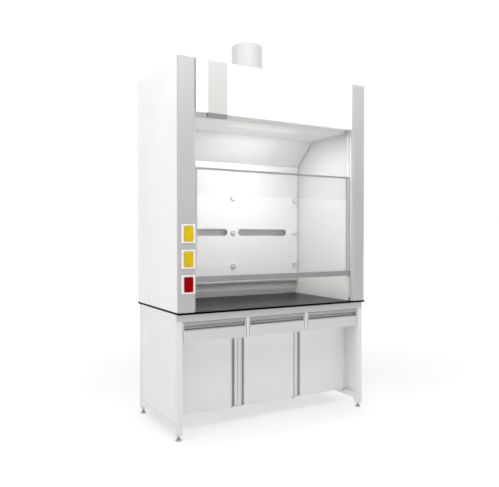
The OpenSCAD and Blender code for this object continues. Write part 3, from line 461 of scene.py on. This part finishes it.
def soften(obj, width, angle=35.0):
    """Rounds the sharp edges by width and shades the rest by face area."""
    weld = obj.modifiers.new("weld", "WELD")
    weld.merge_threshold = 1e-5
    bevel = obj.modifiers.new("edges", "BEVEL")
    bevel.width = width
    bevel.segments = 2
    bevel.limit_method = "ANGLE"
    bevel.angle_limit = math.radians(angle)
    bevel.use_clamp_overlap = True
    normals = obj.modifiers.new("normals", "WEIGHTED_NORMAL")
    normals.weight = 80
    normals.keep_sharp = True


def piece(name, bm, material, body, stands_for=(), smooth=35.0):
    """Turns bm into an object that rides on body."""
    bmesh.ops.remove_doubles(bm, verts=bm.verts, dist=1e-7)
    bmesh.ops.recalc_face_normals(bm, faces=bm.faces)
    mesh = bpy.data.meshes.new(name)
    bm.to_mesh(mesh)
    bm.free()
    mesh.materials.append(material)
    for face in mesh.polygons:
        face.use_smooth = True
    mesh.set_sharp_from_angle(angle=math.radians(smooth))
    obj = bpy.data.objects.new(name, mesh)
    bpy.context.scene.collection.objects.link(obj)
    if body:
        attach(obj, body)
    if stands_for:
        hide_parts(*stands_for)
    return obj


def loft(bm, loops, ring=False):
    """Quads between neighbouring loops of equally many points; capped unless ring."""
    rows = [[bm.verts.new(p) for p in loop] for loop in loops]
    pairs = list(zip(rows, rows[1:])) + ([(rows[-1], rows[0])] if ring else [])
    for a, b in pairs:
        for k in range(len(a)):
            j = (k + 1) % len(a)
            bm.faces.new((a[k], a[j], b[j], b[k]))
    if not ring:
        bm.faces.new(list(reversed(rows[0])))
        bm.faces.new(rows[-1])


def circle(radius, height, count=32, phase=0.0):
    """Points round the Z axis; radius is a number or a function of the angle."""
    angles = [2 * math.pi * (k + phase) / count for k in range(count)]
    radii = [radius(a) if callable(radius) else radius for a in angles]
    return [
        Vector((r * math.cos(a), r * math.sin(a), height)) for a, r in zip(angles, radii)
    ]


def placed(points, matrix):
    return [matrix @ p for p in points]


def turned(centre, axis):
    """Places something made along +Z at centre, along axis."""
    turn = Vector(axis).to_track_quat("Z", "Y").to_matrix().to_4x4()
    return Matrix.Translation(centre) @ turn


def lathe(bm, profile, centre, axis=(0, 0, 1), count=32, ring=False):
    """Profile is (radius, height) pairs along axis from centre."""
    matrix = turned(centre, axis)
    loft(bm, [placed(circle(r, h, count), matrix) for r, h in profile], ring)


def rounded_rectangle(centre, width, height, radius, y, steps=5):
    """Loop in the XZ plane at depth y."""
    points = []
    for sx, sz, start in ((1, 1, 0), (-1, 1, 90), (-1, -1, 180), (1, -1, 270)):
        cx = centre.x + sx * (width / 2 - radius)
        cz = centre.z + sz * (height / 2 - radius)
        for k in range(steps + 1):
            a = math.radians(start + 90 * k / steps)
            points.append(
                Vector((cx + radius * math.cos(a), y, cz + radius * math.sin(a)))
            )
    return points


def block(bm, low, high, bevel=0.0):
    """Box from low to high, with its edges rounded by bevel."""
    made = bmesh.ops.create_cube(bm, size=1.0)
    size, centre = Vector(high) - Vector(low), (Vector(high) + Vector(low)) / 2
    for v in made["verts"]:
        v.co = Vector([c * s for c, s in zip(v.co, size)]) + centre
    if bevel:
        edges = list({e for v in made["verts"] for e in v.link_edges})
        bmesh.ops.bevel(bm, geom=edges, offset=bevel, segments=2, affect="EDGES")


# ---------- Levelling feet ----------


def thread(radius, pitch, low, high, count=24, rows=4):
    """Loops of a helical thread between two heights."""
    depth = 0.6 * pitch
    steps = int((high - low) / pitch * rows)
    loops = []
    for k in range(steps + 1):
        z = low + (high - low) * k / steps

        def ridge(angle, z=z):
            phase = (z / pitch - angle / (2 * math.pi)) % 1.0
            return radius - depth * abs(2 * phase - 1)

        loops.append(circle(ridge, z, count))
    return loops


def make_feet():
    """Domed pads with threaded stems, and the nut on each stem."""
    boxes = solids("levelling_feet")
    on_floor = 1 * MM
    feet = [b for b in boxes if b[0].z < on_floor]
    nuts = [b for b in boxes if b[0].z >= on_floor]
    pads, stems = bmesh.new(), bmesh.new()
    for low, high in feet:
        centre = Vector(((low.x + high.x) / 2, (low.y + high.y) / 2, 0.0))
        r = (high.x - low.x) / 2
        profile = [
            (r - 1.5 * MM, 0.0), (r, 1.5 * MM), (r, 4 * MM), (r - 1 * MM, 5.5 * MM),
            (r - 5 * MM, 8 * MM), (r - 9 * MM, 13 * MM), (r - 11 * MM, 19 * MM),
            (r - 12.5 * MM, 22 * MM), (4 * MM, 22.5 * MM),
        ]
        lathe(pads, profile, centre, count=40)
        matrix = Matrix.Translation(centre)
        loops = thread(4.9 * MM, 1.6 * MM, 22 * MM, high.z - 1 * MM)
        loft(stems, [placed(loop, matrix) for loop in loops])
    for box in nuts:
        centre = middle(box)
        half = (box[1].z - box[0].z) / 2
        corner = (box[1].x - box[0].x) / 2

        def hexagon(angle, share):
            flat = math.cos(math.pi / 6) * corner / math.cos(
                (angle + math.pi / 6) % (math.pi / 3) - math.pi / 6
            )
            return min(flat, corner * share)

        loops = []
        full = half - 1.2 * MM
        for share, z in ((0.9, -half), (1.0, -full), (1.0, full), (0.9, half)):
            loops.append(circle(lambda a, s=share: hexagon(a, s), z, ROUND))
        inner = [circle(5.2 * MM, z, ROUND) for z in (half, -half)]
        matrix = Matrix.Translation(centre)
        loft(stems, [placed(loop, matrix) for loop in loops + inner], ring=True)
    piece("foot_pads", pads, finishes["zinc"], "hood")
    piece(
        "foot_stems", stems, finishes["zinc"], "hood", ("levelling_feet",), 50.0
    )


# ---------- Baffle knobs ----------


def make_knobs():
    """Six-lobed knobs with a sunk cap, each with its stem and spacer behind."""
    knobs, spacers = bmesh.new(), bmesh.new()
    for low, high in solids("baffle_knobs"):
        radius = (high.x - low.x) / 2
        centre = Vector(((low.x + high.x) / 2, low.y, (low.z + high.z) / 2))
        matrix = turned(centre, (0, 1, 0))
        depth = high.y - low.y

        def lobed(angle, share, radius=radius):
            return radius * share * (0.93 + 0.07 * math.cos(6 * angle))

        profile = (
            (0.30, 2.2), (0.36, 1.6), (0.40, 0.6), (0.52, 0.0), (0.70, 0.2), (0.84, 1.4),
            (0.94, 3.6), (0.99, 6.4), (1.0, 9.0), (1.0, 14.0), (0.97, 15.6), (0.90, 16.0),
        )
        loops = []
        for share, back in profile:
            shape = (lambda a, s=share: lobed(a, s)) if share > 0.5 else radius * share
            loops.append(placed(circle(shape, back * MM, 72), matrix))
        loft(knobs, loops)
        stem_r, spacer_r, shoulder = 6 * MM, 10 * MM, 24 * MM
        sleeve = [(stem_r, 15 * MM), (stem_r, shoulder), (spacer_r, shoulder), (spacer_r, depth)]
        lathe(spacers, sleeve, centre, (0, 1, 0), 32)
    piece("knobs", knobs, finishes["knob_plastic"], "hood", ("baffle_knobs",))
    piece("knob_spacers", spacers, finishes["nylon"], "hood")


# ---------- Cover screws ----------


def make_cover_screws():
    """Domed heads with a hexagon socket."""
    bm = bmesh.new()
    for low, high in solids("cover_screws"):
        r = (high.x - low.x) / 2
        centre = Vector(((low.x + high.x) / 2, high.y, (low.z + high.z) / 2))
        matrix = turned(centre, (0, -1, 0))

        def hexagon(angle, size=2.0 * MM):
            return size / math.cos((angle + math.pi / 6) % (math.pi / 3) - math.pi / 6)

        shank, depth = 2 * MM, high.y - low.y
        rings = (
            (lambda a: hexagon(a) * 0.9, 1.5 * MM), (hexagon, 0.1 * MM), (r * 0.62, 0.0),
            (r * 0.86, 0.5 * MM), (r, 1.4 * MM), (r, 2.0 * MM), (shank, 2.05 * MM), (shank, depth),
        )
        loops = [circle(radius, z, ROUND) for radius, z in rings]
        loft(bm, [placed(loop, matrix) for loop in loops])
    piece("cover_screw_set", bm, finishes["zinc"], "hood", ("cover_screws",))


# ---------- Socket outlets ----------

KNUCKLE_R = 3.2 * MM
BEZEL = 8 * MM


def make_socket_frames():
    """Chamfered bezels with rounded corners and the hinge ears beside the lids."""
    bm = bmesh.new()
    for row, (low, high) in zip(reversed(ROWS), solids("socket_frames")):
        lid_low, lid_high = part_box(f"socket_lid_{row}")
        centre = (low + high) / 2
        width, height = high.x - low.x, high.z - low.z
        front = high.y - BEZEL
        gap = 1.2 * MM
        open_w = lid_high.x - lid_low.x + 2 * gap
        open_h = lid_high.z - lid_low.z + 2 * gap
        loops = [
            rounded_rectangle(centre, width, height, 5 * MM, high.y),
            rounded_rectangle(centre, width, height, 5 * MM, front + 2.6 * MM),
            rounded_rectangle(centre, width - 1.2 * MM, height - 1.2 * MM, 4.6 * MM, front + 1 * MM),
            rounded_rectangle(centre, width - 4.4 * MM, height - 4.4 * MM, 3.4 * MM, front),
            rounded_rectangle(centre, open_w + 5 * MM, open_h + 5 * MM, 3.6 * MM, front),
            rounded_rectangle(centre, open_w + 1 * MM, open_h + 1 * MM, 2.2 * MM, front + 1.2 * MM),
            rounded_rectangle(centre, open_w, open_h, 2 * MM, front + 2.2 * MM),
            rounded_rectangle(centre, open_w, open_h, 2 * MM, high.y),
        ]
        loft(bm, loops, ring=True)
        r = KNUCKLE_R
        axis_x, axis_y = lid_low.x + r, low.y + r
        rise, ear = 0.4 * MM, 4.5 * MM
        profile = [(r - 0.5 * MM, 0.0), (r, rise), (r, ear - rise), (r - 0.5 * MM, ear)]
        for end, way in ((lid_high.z, 1), (lid_low.z, -1)):
            base = Vector((axis_x, axis_y, end + way * rise))
            lathe(bm, profile, base, (0, 0, way), 24)
            zs = sorted((base.z + way * rise, base.z + way * (ear - rise)))
            block(bm, (axis_x - r, axis_y, zs[0]), (axis_x + r - 0.6 * MM, front + 1 * MM, zs[1]))
    piece("socket_bezels", bm, finishes["socket_white"], "hood",
          ("socket_frames",), 40.0)


def make_lid(row):
    """Domed flap with a finger lip and a knuckle cut into three barrels."""
    low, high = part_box(f"socket_lid_{row}")
    slot = "lid_red" if row == "bottom" else "lid_yellow"
    r = KNUCKLE_R
    axis = Vector((low.x + r, low.y + 3.5 * MM, low.z))
    plate_low = low.x + 1.6 * r
    centre = Vector(((plate_low + high.x) / 2, 0.0, (low.z + high.z) / 2))
    width, height = high.x - plate_low, high.z - low.z
    back = low.y + 5 * MM
    bm = bmesh.new()
    steps = (
        (0.0, back, 3.5), (0.0, low.y + 2.4 * MM, 3.5), (1.0, low.y + 1.1 * MM, 3.2),
        (2.4, low.y + 0.7 * MM, 3.0), (5.0, low.y + 0.62 * MM, 2.6), (6.0, low.y + 1.0 * MM, 2.4),
        (8.0, low.y + 1.0 * MM, 2.2), (14.0, low.y + 0.6 * MM, 1.8), (24.0, low.y + 0.35 * MM, 1.2),
    )
    loft(bm, [
        rounded_rectangle(centre, width - 2 * inset * MM, height - 2 * inset * MM, corner * MM, y)
        for inset, y, corner in steps
    ])
    barrels = 3
    barrel, gap, chamfer = height / barrels, 0.4 * MM, 0.5 * MM
    for k in range(barrels):
        base = Vector((axis.x, axis.y, low.z + k * barrel))
        lathe(bm, [(r - chamfer, 0.0), (r, chamfer), (r, barrel - gap - chamfer),
                   (r - chamfer, barrel - gap)], base, (0, 0, 1), 24)
        block(bm, (axis.x, low.y + 1.2 * MM, base.z + 0.8 * MM),
              (plate_low + 1 * MM, back - 0.6 * MM, base.z + barrel - 1.2 * MM))
    lip_half = 12 * MM
    block(bm, (high.x - 3.2 * MM, low.y + 0.1 * MM, centre.z - lip_half),
          (high.x - 0.4 * MM, low.y + 1.6 * MM, centre.z + lip_half), 0.5 * MM)
    piece(f"lid_{row}", bm, finishes[slot], f"socket_lid_{row}", (f"socket_lid_{row}",), 40.0)


# ---------- Grip profiles ----------

GRIP_WALL = 2.5 * MM


def grip_outline(depth, width):
    """Channel as (depth, distance from its free edge) points, with rounded corners."""
    wall, lip, low_lip, high_lip = GRIP_WALL, 2 * MM, FLANGE, 8 * MM
    e = 0.8 * MM

    def arc(cx, cy, r, a0, a1, n=5):
        return [
            (cx + r * math.cos(math.radians(a0 + (a1 - a0) * k / n)),
             cy + r * math.sin(math.radians(a0 + (a1 - a0) * k / n)))
            for k in range(n + 1)
        ]

    inner = 4 * MM
    return [
        *arc(e, e, e, 180, 270, 3), *arc(depth - e, e, e, 270, 360, 3),
        *arc(depth - e, width - e, e, 0, 90, 3), *arc(e, width - e, e, 90, 180, 3),
        *arc(lip / 2, width - high_lip + lip / 2, lip / 2, 180, 360, 6),
        (lip, width - wall - 0.8 * MM), (lip + 0.8 * MM, width - wall),
        *arc(depth - wall - inner, width - wall - inner, inner, 90, 0),
        *arc(depth - wall - inner, wall + inner, inner, 0, -90),
        (lip + 0.8 * MM, wall), (lip, wall + 0.8 * MM),
        *arc(lip / 2, low_lip - lip / 2, lip / 2, 0, 180, 6),
    ]


def make_grip(node, body, along, away=1):
    """Extruded grip with ribs at the bottom of its channel, a cap at each end, and dark strips painted as
    the shadows along the channel's walls.

    along is 0 for a level grip and 2 for an upright one; away is the sign of the
    direction that leads from its free edge into the door or drawer."""
    low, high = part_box(node)
    cap = 6 * MM
    depth = high.y - low.y
    across = 2 if along == 0 else 0
    width = high[across] - low[across]

    def point(d, h, s):
        p = Vector((0, low.y + d, 0))
        p[across] = low[across] + h if away > 0 else high[across] - h
        p[along] = s
        return p

    outline = grip_outline(depth, width)
    bm = bmesh.new()
    loft(bm, [[point(d, h, s) for d, h in outline]
              for s in (low[along] + cap, high[along] - cap)])
    rib_half, rib_rise, shadow_strip_half = 0.7 * MM, 0.7 * MM, 1.6 * MM
    first_rib, rib_pitch, ribs = 37 * MM, 4.5 * MM, 3
    floor = depth - GRIP_WALL
    rooted = floor + 0.5 * MM
    for k in range(ribs):
        h = first_rib + k * rib_pitch
        ridge = ((rooted, h - rib_half), (floor - rib_rise, h - rib_half / 2),
                 (floor - rib_rise, h + rib_half / 2), (rooted, h + rib_half))
        loft(bm, [[point(d, hh, s) for d, hh in ridge]
                  for s in (low[along] + cap, high[along] - cap)])
    alloy = drawer_grip_shaded if along == 0 else door_grip
    piece(f"{node}_profile", bm, alloy, body, (node,), 40.0)

    # Dark strips painted where the channel walls cast shadow.
    shadow_strips = bmesh.new()
    for h in (33 * MM, 50 * MM):
        shadow_strip_section = ((rooted, h - shadow_strip_half), (floor - rib_rise, h - shadow_strip_half),
                 (floor - rib_rise, h + shadow_strip_half), (rooted, h + shadow_strip_half))
        loft(shadow_strips, [[point(d, hh, s) for d, hh in shadow_strip_section]
                       for s in (low[along] + cap, high[along] - cap)])
    piece(f"{node}_grooves", shadow_strips, painted_channel_shadow, body, (), 40.0)

    caps = bmesh.new()
    for start, end in ((low[along], low[along] + cap), (high[along] - cap, high[along])):
        a = [0, low.y, 0]
        b = [0, high.y, 0]
        a[across], b[across] = low[across], high[across]
        a[along], b[along] = start, end
        block(caps, a, b, 1.0 * MM)
    piece(f"{node}_caps", caps, finishes["duct_plastic"], body, (), 40.0)


# ---------- Sash ropes ----------

STRANDS = 6


def strand_section(radius):
    """Six round strands seen end on, as radius against angle."""
    return lambda a: radius * (0.82 + 0.18 * abs(math.cos(STRANDS * a / 2)))


def make_rope_run(name, top, end, node):
    """Upright run with rings only at its ends, so that it can shorten without folding."""
    radius = (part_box(node)[1].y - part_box(node)[0].y) / 2
    bm = bmesh.new()
    section = circle(strand_section(radius), 0.0, ROUND)
    loft(bm, [[p + end for p in section], [p + top for p in section]])
    run = piece(name, bm, finishes["rope_steel"], None, (node,), 60.0)
    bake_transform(run)


def make_ropes():
    """Upright runs down to the sash and its weights, and the bends over the pulleys."""
    for node in ("rope_front_runs", "rope_rear_runs"):
        for side, (low, high) in zip(SIDES, solids(node)):
            x, y = (low.x + high.x) / 2, (low.y + high.y) / 2
            make_rope_run(
                f"{node.removesuffix('_runs')}_{side}", Vector((x, y, high.z)), Vector((x, y, low.z)), node
            )
    bm = bmesh.new()
    low_all, high_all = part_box("rope_crowns")
    radius = (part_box("rope_front_runs")[1].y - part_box("rope_front_runs")[0].y) / 2
    reach = (high_all.y - low_all.y) / 2 - radius
    for low, high in solids("rope_crowns"):
        centre = Vector(((low.x + high.x) / 2, (low.y + high.y) / 2, low.z))
        loops = []
        side = Vector((1, 0, 0))
        for k in range(ROUND + 1):
            a = math.pi * k / ROUND
            out = Vector((0, math.cos(a), math.sin(a)))
            twist = 4 * a
            loop = []
            for j in range(ROUND):
                t = 2 * math.pi * j / ROUND
                r = strand_section(radius)(t - twist)
                loop.append(centre + out * (reach + r * math.cos(t)) + side * r * math.sin(t))
            loops.append(loop)
        loft(bm, loops)
    piece("rope_over_pulleys", bm, finishes["rope_steel"], "hood",
          ("rope_crowns",), 60.0)


# ---------- Worktop ----------


def make_worktop():
    """Slab inside a matt black edge that runs round all four sides."""
    low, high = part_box("worktop")
    lipping, chamfer = 10 * MM, 0.5 * MM
    profile = (
        (0.0, low.z + chamfer), (0.0, high.z - chamfer), (chamfer, high.z),
        (lipping, high.z), (lipping, low.z), (chamfer, low.z),
    )
    edge, slab = bmesh.new(), bmesh.new()
    loft(edge, [
        [Vector((x, y, z)) for x, y in (
            (low.x + inset, low.y + inset), (high.x - inset, low.y + inset),
            (high.x - inset, high.y - inset), (low.x + inset, high.y - inset))]
        for inset, z in profile
    ], ring=True)
    inner = Vector((lipping, lipping, 0.0))
    block(slab, low + inner, high - inner)
    piece("worktop_edge", edge, edge_resin, "hood", ("worktop",), 30.0)
    piece("worktop_slab", slab, finishes["worktop_resin"], "hood", ("worktop",))


# ---------- Small fitted detail ----------

GLASS_BITE = 7 * MM
SASH_RAIL = 14 * MM
TUBE = 50 * MM
DUCT_RADIUS = 125 * MM


def make_glazing_gasket():
    """Seal round the sliding glass, on both faces."""
    glass_low, glass_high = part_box("sash_glass")
    stile_in = glass_high.x - GLASS_BITE
    z_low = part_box("sash_handle")[1].z
    z_high = sash_top - SASH_RAIL
    bm = bmesh.new()
    thick, deep, gap = 2.2 * MM, 1.6 * MM, 0.1 * MM
    faces = ((glass_low.y - deep, glass_low.y - gap), (glass_high.y + gap, glass_high.y + deep))
    for y0, y1 in faces:
        for s in (-1, 1):
            x = sorted((s * stile_in, s * (stile_in - thick)))
            block(bm, (x[0], y0, z_low), (x[1], y1, z_high), 0.4 * MM)
        block(bm, (-stile_in, y0, z_high - thick), (stile_in, y1, z_high), 0.4 * MM)
        block(bm, (-stile_in, y0, z_low), (stile_in, y1, z_low + thick), 0.4 * MM)
    piece("glazing_gasket", bm, finishes["duct_plastic"], "sash")


def make_drawer_hems(bay):
    """Rolled rim round the top of a drawer box."""
    low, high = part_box(f"drawer_box_{bay}")
    centre_x = middle(solids(f"drawer_box_{bay}")[0]).x
    runner_side = 11.5 * MM
    inner = (high.x - low.x) / 2 - runner_side
    r, sides = 1.7 * MM, 12
    z = high.z - r
    y0, y1 = low.y + r, high.y - r
    corners = [
        Vector((centre_x - inner + r, y0, z)), Vector((centre_x + inner - r, y0, z)),
        Vector((centre_x + inner - r, y1, z)), Vector((centre_x - inner + r, y1, z)),
    ]
    bm = bmesh.new()
    loops = []
    for k, corner in enumerate(corners):
        before, after = corners[k - 1], corners[(k + 1) % 4]
        out = ((corner - before).normalized() + (corner - after).normalized())
        loop = []
        for j in range(sides):
            a = 2 * math.pi * j / sides
            loop.append(corner + out * (r * math.cos(a)) + Vector((0, 0, r * math.sin(a))))
        loops.append(loop)
    loft(bm, loops, ring=True)
    piece(f"drawer_rim_{bay}", bm, finishes["drawer_steel"], f"drawer_{bay}")


def make_rail_lip(bay):
    """Drip lip under the front rail, over the top of a drawer."""
    grip_low, grip_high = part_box(f"drawer_handle_{bay}")
    rail_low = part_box("cross_rails")[0]
    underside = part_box("side_frames")[1].z - TUBE
    past, above, thick = 3 * MM, 2.5 * MM, 8 * MM
    bm = bmesh.new()
    block(bm, (grip_low.x - past, rail_low.y + 0.3 * MM, grip_high.z + above),
          (grip_high.x + past, rail_low.y + thick, underside + 0.2 * MM), 0.4 * MM)
    piece(f"rail_lip_{bay}", bm, own_finishes["cross_rails"], "hood")


def make_collar_seam():
    """Lock seam down the back of the duct collar."""
    low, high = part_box("duct_collar")
    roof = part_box("top_cover")[1].z
    centre = (low + high) / 2
    bm = bmesh.new()
    loops = []
    section = ((-5, -0.4), (-5, 0.5), (-4, 0.9), (4, 0.9), (5, 0.5), (5, -0.4))
    for z in (roof + 8 * MM, high.z - 3 * MM):
        loop = []
        for across, rise in section:
            wall = math.sqrt(DUCT_RADIUS ** 2 - (across * MM) ** 2)
            loop.append(Vector((centre.x + across * MM, centre.y + wall + rise * MM, z)))
        loops.append(loop)
    loft(bm, loops)
    piece("collar_seam", bm, finishes["collar_paint"], "hood")


# ---------- Dressing the CAD nodes ----------

EDGE_WIDTHS = {
    "worktop": 0.8, "side_frames": 1.2, "cross_rails": 1.0, "door_left": 0.7,
    "sash_frame": 0.8, "sash_handle": 0.8, "post_left": 0.5, "post_right": 0.5,
    "counterweight_left": 2.0, "counterweight_right": 2.0,
}
DEFAULT_EDGE = 0.4


def dress_nodes():
    """Gives every CAD node its slot's finish and softened edges."""
    for part in frame["record"]["subparts"]:
        node, slot = part["node"], part["material_slot"]
        obj = nodes[node]
        obj.data.materials.clear()
        obj.data.materials.append(finishes[slot])
        soften(obj, EDGE_WIDTHS.get(node, DEFAULT_EDGE) * MM)
    for node, finish in own_finishes.items():
        nodes[node].data.materials[0] = finish


# ---------- Studio ----------

CAMERA_AT = Vector((-2.3504, -4.0241, 1.4283))
CAMERA_YAW = math.radians(29.93)
CAMERA_PITCH = math.radians(-0.68)
CAMERA_LENS = 40.78
ROOM_LEVEL = 0.45
FLOOR_REACH = 30.0
FLOOR_GLOW = 0.33
FAR_GLOW = FLOOR_GLOW + 0.25
GLOW_FROM, GLOW_TO = 1.6, 5.0
LIGHTS = (
    # name, place, aimed at, size, watts
    ("overhead", (-0.6, -1.2, 4.6), (0.0, -0.3, 2.0), (2.6, 1.6), 26.0),
    ("front", (-0.9, -2.4, 3.5), (0.0, -0.4, 2.5), (1.8, 1.0), 17.0),
    ("brow", (0.35, -1.45, 3.25), (0.2, -0.41, 2.5), (2.6, 0.3), 6.0),
    ("left", (-3.6, -0.6, 3.9), (-0.84, 0.0, 2.2), (2.4, 2.4), 33.0),
)


def make_camera():
    data = bpy.data.cameras.new("camera")
    data.lens = CAMERA_LENS
    data.sensor_width = 36.0
    camera = bpy.data.objects.new("camera", data)
    camera.location = CAMERA_AT
    camera.rotation_euler = (math.pi / 2 + CAMERA_PITCH, 0.0, -CAMERA_YAW)
    bpy.context.scene.collection.objects.link(camera)
    bpy.context.scene.camera = camera


def make_light(name, at, target, size, power, colour=(1.0, 1.0, 1.0)):
    data = bpy.data.lights.new(name, "AREA")
    data.shape = "RECTANGLE"
    data.size, data.size_y = size
    data.energy = power
    data.color = colour
    light = bpy.data.objects.new(name, data)
    light.visible_camera = False
    light.location = at
    way = Vector(target) - Vector(at)
    light.rotation_euler = way.to_track_quat("-Z", "Y").to_euler()
    bpy.context.scene.collection.objects.link(light)


def make_floor():
    """Wide pale floor with a faint mottle and a glow that grows away from the hood."""
    bm = bmesh.new()
    step = 4
    for row in range(step + 1):
        for column in range(step + 1):
            x, y = (FLOOR_REACH * (2 * k / step - 1) for k in (column, row))
            bm.verts.new((x, y, 0.0))
    bm.verts.ensure_lookup_table()
    for row in range(step):
        for column in range(step):
            k = row * (step + 1) + column
            bm.faces.new([bm.verts[j] for j in (k, k + 1, k + step + 2, k + step + 1)])
    mesh = bpy.data.meshes.new("floor")
    bm.to_mesh(mesh)
    bm.free()
    f = Finish("floor", specular=0.1)
    tone = f.blend(f.noise(0.6), srgb(236, 235, 235), srgb(239, 238, 238))
    f.feed(f.shader.inputs["Emission Color"], tone)
    away = f.add("ShaderNodeVectorMath", operation="LENGTH")
    f.feed(away.inputs[0], f.place)
    glow = f.remap(away.outputs["Value"], GLOW_FROM, GLOW_TO, FLOOR_GLOW, FAR_GLOW)
    f.feed(f.shader.inputs["Emission Strength"], glow)
    mesh.materials.append(f.done(tone, 0.9))
    floor = bpy.data.objects.new("floor", mesh)
    bpy.context.scene.collection.objects.link(floor)


def make_studio():
    """White world, dimmer behind the camera, with four area lights and the hood's lamp."""
    world = bpy.data.worlds.new("studio")
    world.use_nodes = True
    tree = world.node_tree
    way = tree.nodes.new("ShaderNodeTexCoord").outputs["Generated"]
    ahead = tree.nodes.new("ShaderNodeVectorMath")
    ahead.operation = "DOT_PRODUCT"
    tree.links.new(way, ahead.inputs[0])
    ahead.inputs[1].default_value = (math.sin(CAMERA_YAW), math.cos(CAMERA_YAW), 0.0)
    level = tree.nodes.new("ShaderNodeMapRange")
    level.interpolation_type = "SMOOTHSTEP"
    tree.links.new(ahead.outputs["Value"], level.inputs["Value"])
    for socket, number in zip(level.inputs[1:5], (-0.3, 0.75, ROOM_LEVEL, 1.0)):
        socket.default_value = number
    background = tree.nodes["Background"]
    background.inputs["Color"].default_value = (1.0, 1.0, 1.0, 1.0)
    tree.links.new(level.outputs["Result"], background.inputs["Strength"])
    bpy.context.scene.world = world
    bpy.context.scene.view_settings.view_transform = "Standard"
    for light in LIGHTS:
        make_light(*light)
    low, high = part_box("lamp_lens")
    centre = (low + high) / 2
    make_light("hood_lamp", (centre.x, centre.y, low.z - 4 * MM), (centre.x, centre.y + 0.05, 0.9),
               (0.6, 0.1), 9.8, (1.0, 0.995, 0.98))


make_camera()
dress_nodes()
make_feet()
make_knobs()
make_cover_screws()
make_socket_frames()
for row in ROWS:
    make_lid(row)
for bay in BAYS:
    make_grip(f"drawer_handle_{bay}", f"drawer_{bay}", 0, -1)
    make_grip(f"door_handle_{bay}", f"door_{bay}", 2, -1 if bay == "left" else 1)
    make_drawer_hems(bay)
    make_rail_lip(bay)
make_worktop()
make_ropes()
make_glazing_gasket()
make_collar_seam()
make_floor()
make_studio()
